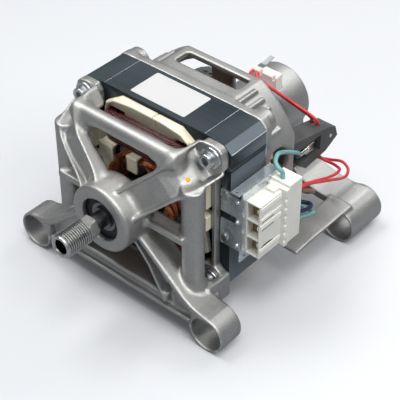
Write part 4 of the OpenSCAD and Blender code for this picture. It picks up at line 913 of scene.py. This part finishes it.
def coil_frame():
    fine = 0.6
    g = Field((-51, 49.5, -56), (51, 73, 56), fine)
    half = [(36.5, 38), (36, 45.7), (24, 53.5), (-24, 53.5), (-36, 45.7), (-36.5, 38), (-46.5, 30)]
    flange = g.prism_y(half + [(-x, -z) for x, z in half], (FRAME_FRONT, STACK_FRONT), 1.1)
    up = np.abs(g.z)
    crown = chaikin([(36.5, 30), (36, 45.7), (24, 53.5), (-24, 53.5), (-36, 45.7), (-36.5, 30)])
    flare = np.clip((FRAME_FRONT - g.y) / 2.6, 0, 1) * 0.5
    edge = outline(g.x, up, crown) - flare
    rim = both(np.abs(edge + 1.0) - 0.3, g.span(g.y, 64.9, 68.5) + 0.7) - 0.7
    body = join(flange, np.maximum(rim, 38 - up), 2.2)
    for side in (1, -1):
        for z in ((9, 27), (-8, 3)):
            body = join(body, g.between((side * 43.5, side * 49.6), (62, FRAME_BACK), z, 0.6), 1.0)
    body = cut(body, g.rod_y(0, 0, 33.4, (60, 80), SHARP), 1.2)
    leg = np.maximum(np.abs(np.abs(g.x) - 27.3) - 6.9, np.abs(up - 36.8) - 7.3)
    body = cut(body, np.maximum(leg, g.span(g.y, 60, 80)), 1.0)
    side_hook, middle_hook = (-27, -16), (-4, 4)
    for x in (side_hook, middle_hook):
        for sign in (1, -1):
            body = join(body, g.between(x, (51, FRAME_BACK), (sign * 28.4, sign * 29.6), 0.5), 0.8)
            body = join(body, g.between(x, (51, 52.8), (sign * 18.6, sign * 29.6), 0.6), 1.5)
            if x == middle_hook:
                root = (sign * 28.4, sign * 34.1)
                body = join(body, g.between(x, (FRAME_FRONT, FRAME_BACK), root, 0.5), 0.8)
    seam = g.block((4.4, 60, 45.5), (5.2, 80, 60), SHARP)
    body = cut(body, seam, 0.3)
    corner = away(np.abs(g.x) - BOLT[0], up - BOLT[1]) - 17.6
    body = cut(body, np.maximum(corner, g.y - 66.7), 0.8)
    body = np.maximum(body, g.y - STACK_FRONT)
    made = new_object("look_coil_frame_front", *skin(body, g.low, fine), "cream_nylon")
    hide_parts("coil_frame_front")


bracket = front_casting()
rear_casting()
coil_frame()


# Windings

def field_coil(name):
    """Closed loops of thin wire that fill the room of the solid coil."""
    low, high = (np.array(v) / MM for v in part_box(name))
    middle, reach = (low[1] + high[1]) / 2, (high[1] - low[1]) / 2
    thick, inner_corner = 12.6, 2.65
    hx, hy = high[0] - thick - inner_corner, reach - thick - inner_corner
    count = 11
    pitch = (thick - 1.15) / (count - 1)
    turns = np.radians(np.arange(0, 91, 15))
    loops = []
    for turn in range(count):
        for layer in range(count):
            r = inner_corner + 0.57 + turn * pitch + rng.uniform(-0.1, 0.1)
            rise = low[2] + 0.6 + layer * (high[2] - low[2] - 1.75) / (count - 1) + 0.5 * (turn % 2)
            ring = []
            for k, (sx, sy) in enumerate(((1, 1), (-1, 1), (-1, -1), (1, -1))):
                a = turns + k * math.pi / 2
                ring.append(np.stack([sx * hx + r * np.cos(a), middle + sy * hy + r * np.sin(a), 0 * a], 1))
            ring = np.concatenate(ring)
            outward = layer / (count - 1) if low[2] > 0 else layer / (count - 1) - 1
            past_frame = np.clip((np.abs(ring[:, 1] - middle) - 20) / 5, 0, 1)
            ring[:, 2] = rise + 3.2 * outward * past_frame
            sway = rng.uniform(-0.12, 0.12, (len(ring), 3))
            loops.append(ring + (sway + np.roll(sway, 1, 0) + np.roll(sway, 2, 0)) / 3)
    made = wires("look_" + name, loops, 0.56, 6, "enamelled_wire", "stator", closed=True)
    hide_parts(name)


def armature():
    """Bars of seven strands along the winding's path, slot to slot over the two ends of the core."""
    slots, span = 13, 6
    outer, inner = 26.0, 21.5
    front, rear, over = STACK_FRONT, STACK_REAR, 15
    marks = []

    def crossing(start, r0, r1, y0, y1):
        for t in (0.33, 0.67, 0.95, 1, 1.05, 1.33, 1.67):
            r = r0 if t < 1 else r1 if t > 1 else (r0 + r1) / 2
            marks.append((start + span * t / 2, r, y1 if t == 1 else y0 + (y1 - y0) * (1 - abs(1 - t))))

    for k in range(slots):
        s = 2 * span * k
        marks.extend([(s, outer, rear + 2), (s, outer, front - 2)])
        crossing(s, outer, inner, front - 2, front - over)
        marks.extend([(s + span, inner, front - 2), (s + span, inner, rear + 2)])
        crossing(s + span, inner, outer, rear + 2, rear + over)
    marks = np.array(marks[:-4])
    a = 2 * math.pi / slots * marks[:, 0]
    path = np.stack([marks[:, 1] * np.cos(a), marks[:, 2], marks[:, 1] * np.sin(a)], 1)
    for _ in range(2):
        inside = np.stack([0.75 * path[:-1] + 0.25 * path[1:], 0.25 * path[:-1] + 0.75 * path[1:]], 1)
        path = np.concatenate([path[:1], inside.reshape(-1, 3), path[-1:]])
    side, other = frames(path)
    along = np.concatenate([[0], np.cumsum(np.linalg.norm(np.diff(path, axis=0), axis=1))])
    strands = [path]
    for k in range(6):
        turn = (k * math.pi / 3 + along / 26)[:, None]
        strands.append(path + 0.94 * (np.cos(turn) * side + np.sin(turn) * other))
    made = wires("look_armature_winding", strands, 0.5, 5, "copper_wire", "rotor")
    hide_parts("armature_winding")


field_coil("field_coil_upper")
field_coil("field_coil_lower")
armature()


# Turned pieces

def six_sided(apothem, limit=1e9):
    def radius(turn):
        return np.minimum(apothem / np.cos(turn % (math.pi / 3) - math.pi / 6), limit)
    return radius


def lathe(rows, count, places=((0, 0),), ring=False):
    """Rows of radius and Y turned about axes along Y, as a ring or closed at both ends."""
    turn = 2 * math.pi * np.arange(count) / count
    flat = []
    for radius, y in rows:
        r = radius(turn) if callable(radius) else np.full(count, radius)
        flat.append(np.stack([r * np.cos(turn), np.full(count, y), r * np.sin(turn)], 1))
    flat = np.concatenate(flat + [np.array([[0, rows[0][1], 0], [0, rows[-1][1], 0]])])
    faces = halves(grid(len(rows), count, ring))
    if ring:
        flat = flat[:-2]
    else:
        j, k = np.arange(count), (np.arange(count) + 1) % count
        end = len(rows) * count
        faces.append(np.stack([np.full(count, end), k, j], 1))
        faces.append(np.stack([np.full(count, end + 1), end - count + j, end - count + k], 1))
    faces = np.concatenate(faces)[:, ::-1]
    verts = np.concatenate([flat + (x, 0, z) for x, z in places])
    return verts, np.concatenate([faces + m * len(flat) for m in range(len(places))])


def pulley():
    crest, depth, pitch, ribs = 7.95, 1.1, 1.6, 12
    front, start = -10.2, -9.6
    rows = [(4.5, front + 1.0), (5.3, front + 0.1), (5.6, front)]
    rows += [(crest - 0.9, front), (crest - 0.7, front + 0.1)]
    for k in range(ribs):
        shape = ((crest - 0.35, 0.17), (crest, 0.32), (crest, 0.68), (crest - 0.35, 0.83))
        rows += [(r, start + pitch * (k + t)) for r, t in shape]
        if k < ribs - 1:
            rows += [(crest - depth, start + pitch * (k + t)) for t in (0.93, 1.07)]
    back = start + pitch * ribs
    edge = six_sided(7.0, 7.6)
    rows += [(7.5, back + 0.5), (six_sided(7.0, 7.3), back + 0.55), (edge, back + 0.9), (edge, back + 5.6)]
    rows += [(six_sided(6.7, 7.2), back + 6.0), (4.5, back + 6.0)]
    made = new_object("look_drive_pulley", *lathe(rows, 96, ring=True), "pulley_steel", "rotor", False)
    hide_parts("drive_pulley")


def bolts():
    seat, end = BOLT_SEAT, 111.5
    socket = six_sided(2.42)
    rows = [(socket, seat - 3.0), (socket, seat - 5.7), (3.1, seat - 6.0), (4.3, seat - 6.0)]
    rows += [(4.7, seat - 5.85), (4.9, seat - 5.5), (4.9, seat - 2.0), (5.2, seat - 1.6)]
    rows += [(6.7, seat - 1.3), (7.0, seat - 1.1), (7.1, seat - 0.8), (7.1, seat)]
    rows += [(2.9, seat), (2.9, end)]
    places = [(sx * BOLT[0], sz * BOLT[1]) for sx in (1, -1) for sz in (1, -1)]
    made = new_object("look_through_bolts", *lathe(rows, 48, places), "zinc_steel", "stator", False)
    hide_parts("through_bolts")


pulley()
bolts()


# Brush springs, as long as the solid springs; nothing here shortens them as the brushes slide out


def brush_spring(side):
    node, wire, turns, steps, sides = f"brush_spring_{side}", 0.35, 5, 160, 8
    low, high = (np.array(corner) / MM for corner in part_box(node))
    centre, reach = (low + high) / 2, (high - low) / 2 - wire
    turn = np.linspace(0, 2 * math.pi * turns, steps + 1)
    along = np.linspace(-1, 1, steps + 1)
    path = centre + reach * np.stack([along, np.cos(turn), np.sin(turn)], 1)
    made = new_object(f"look_{node}", *tube(path, wire, sides, False), "spring_steel")
    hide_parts(node)
    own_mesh(made)


brush_spring("right")
brush_spring("left")


# Small pieces

def slab(name, outline_points, ends, axis, slot):
    """A flat plate with a convex outline, between two places along an axis."""
    flat = np.asarray(outline_points, dtype=float)
    if axis != 1:
        flat = flat[::-1]
    verts = np.concatenate([np.insert(flat, axis, end, axis=1) for end in ends])
    new_object(name, verts, capped(2, len(flat))[:, ::-1], slot, smooth=False)


def rounded(low, high, r, steps=5):
    turns = np.radians(np.linspace(0, 90, steps))
    points = []
    corners = ((high[0] - r, high[1] - r), (low[0] + r, high[1] - r), (low[0] + r, low[1] + r),
               (high[0] - r, low[1] + r))
    for k, (u, v) in enumerate(corners):
        points += [(u + r * math.cos(t), v + r * math.sin(t)) for t in turns + k * math.pi / 2]
    return points


def paint_mark(surface, place, radius, count=18):
    """A drop of paint on a surface, seen along the camera's line through a place on it."""
    proud, sunk = 0.12, -0.3
    mesh = surface.data
    tree = BVHTree.FromPolygons([v.co for v in mesh.vertices], [f.vertices for f in mesh.polygons])
    eye = scene.camera.location
    aim = (Vector(place) * MM - eye).normalized()
    side = aim.orthogonal().normalized()
    other = aim.cross(side)
    verts = []
    for ring in (1.0, 0.8, 0.0):
        for k in range(count if ring else 1):
            turn = 2 * math.pi * k / count
            reach = radius * ring * MM * (1 + 0.12 * math.sin(2 * turn) + 0.06 * math.sin(3 * turn + 1))
            start = eye + side * math.cos(turn) * reach + other * math.sin(turn) * reach
            hit, normal, _, _ = tree.ray_cast(start, aim)
            verts.append(np.array(hit + normal * (proud if ring < 1 else sunk) * MM) / MM)
    faces = []
    for k in range(count):
        n = (k + 1) % count
        faces += [(k, n, count + n), (k, count + n, count + k), (count + k, count + n, 2 * count)]
    faces += [(0, k + 1, k) for k in range(1, count - 1)]
    new_object("look_paint_mark", verts, np.array(faces)[:, ::-1], "paint_mark")


def stack_seams():
    """Seams along the corners of the stack."""
    half = 0.25
    for k, (x, z) in enumerate(((40, 55.45), (-40, 55.45), (60, 49.2), (-60, 49.2))):
        seam = rounded((x - half, z - half), (x + half, z + half), 0.12, 3)
        slab(f"look_stack_seam_{k}", seam, (STACK_FRONT + 0.1, STACK_REAR - 0.1), 1, "zinc_steel")


def housing_relief():
    """Ribs on the connector's side, its slits drawn as dark plates of painted shade, and dark brown blocks
    deep in its ways: brown contact carriers, darkened with painted shade.
    """
    side, edge = 80.8, 0.3
    for k, (z0, z1) in enumerate(((16.8, 19.6), (9.2, 11.2), (3.2, 6.2), (-14.6, -12.0))):
        rib = rounded((73.9, z0), (93.2, z1), edge, 3)
        slab(f"look_housing_rib_{k}", rib, (side - 0.2, side + 0.5), 0, "ivory_nylon")
    # Painted shade: each slit is a dark plate almost flush with the side.
    for k, z in enumerate((8.2, 2.2, -11.0)):
        slit = rounded((75.5, z - 0.45), (86.5, z + 0.45), edge, 3)
        slab(f"look_housing_slit_shade_{k}", slit, (side - 0.3, side + 0.06), 0, "charcoal_plastic")
    # Brown contact carriers deep in the ways, made darker as painted shade.
    start, pitch, wall = -19, 12.93, 1.2
    for k in range(3):
        way = rounded((71.5, start + wall + pitch * k), (79.5, start + pitch * (k + 1)), edge, 3)
        slab(f"look_contact_block_and_shade_{k}", way, (79.0, 88.0), 1, "contact_brown")


def holder_trim(side, sign):
    """A crimp barrel on the brush lead's end, and a step and a pin on the brush holder."""
    holder_x, lead_x, lead_end, lead_r = 54.0, 51.0, 153.5, 1.4
    profile = ((0.03, -3.0), (0.45, -3.0), (0.6, -2.6), (0.45, -1.6), (0.6, -0.6), (0.45, 0), (0.03, 0))
    barrel = [(lead_r + out, lead_end + along) for out, along in profile]
    new_object(f"look_crimp_{side}", *lathe(barrel, 24, ((sign * lead_x, 0),), ring=True), "tin_plate")
    step = [(138.7, 12.5), (151.5, 12.0), (151.5, 14.8), (150.6, 15.4), (138.7, 17.6)]
    slab(f"look_holder_step_{side}", step, sorted((sign * 40.6, sign * 45.4)), 0, "charcoal_plastic")
    pin_y, pin_z, pin_r = 180, 0.4, 1.3
    turns = np.linspace(0, 2 * math.pi, 25)[:-1]
    pin = [(pin_y + pin_r * math.cos(t), pin_z + pin_r * math.sin(t)) for t in turns]
    ends = sorted((sign * (holder_x - 0.3), sign * (holder_x + 0.5)))
    slab(f"look_holder_pin_{side}", pin, ends, 0, "tin_plate")


paint_mark(bracket, (45.8, 50, 37.6), 1.7)
slab("look_label", rounded((-22.5, 75.5), (20.5, 100.5), 1.2), (55.48, 55.6), 2, "label_paper")
stack_seams()
housing_relief()
holder_trim("right", 1)
holder_trim("left", -1)
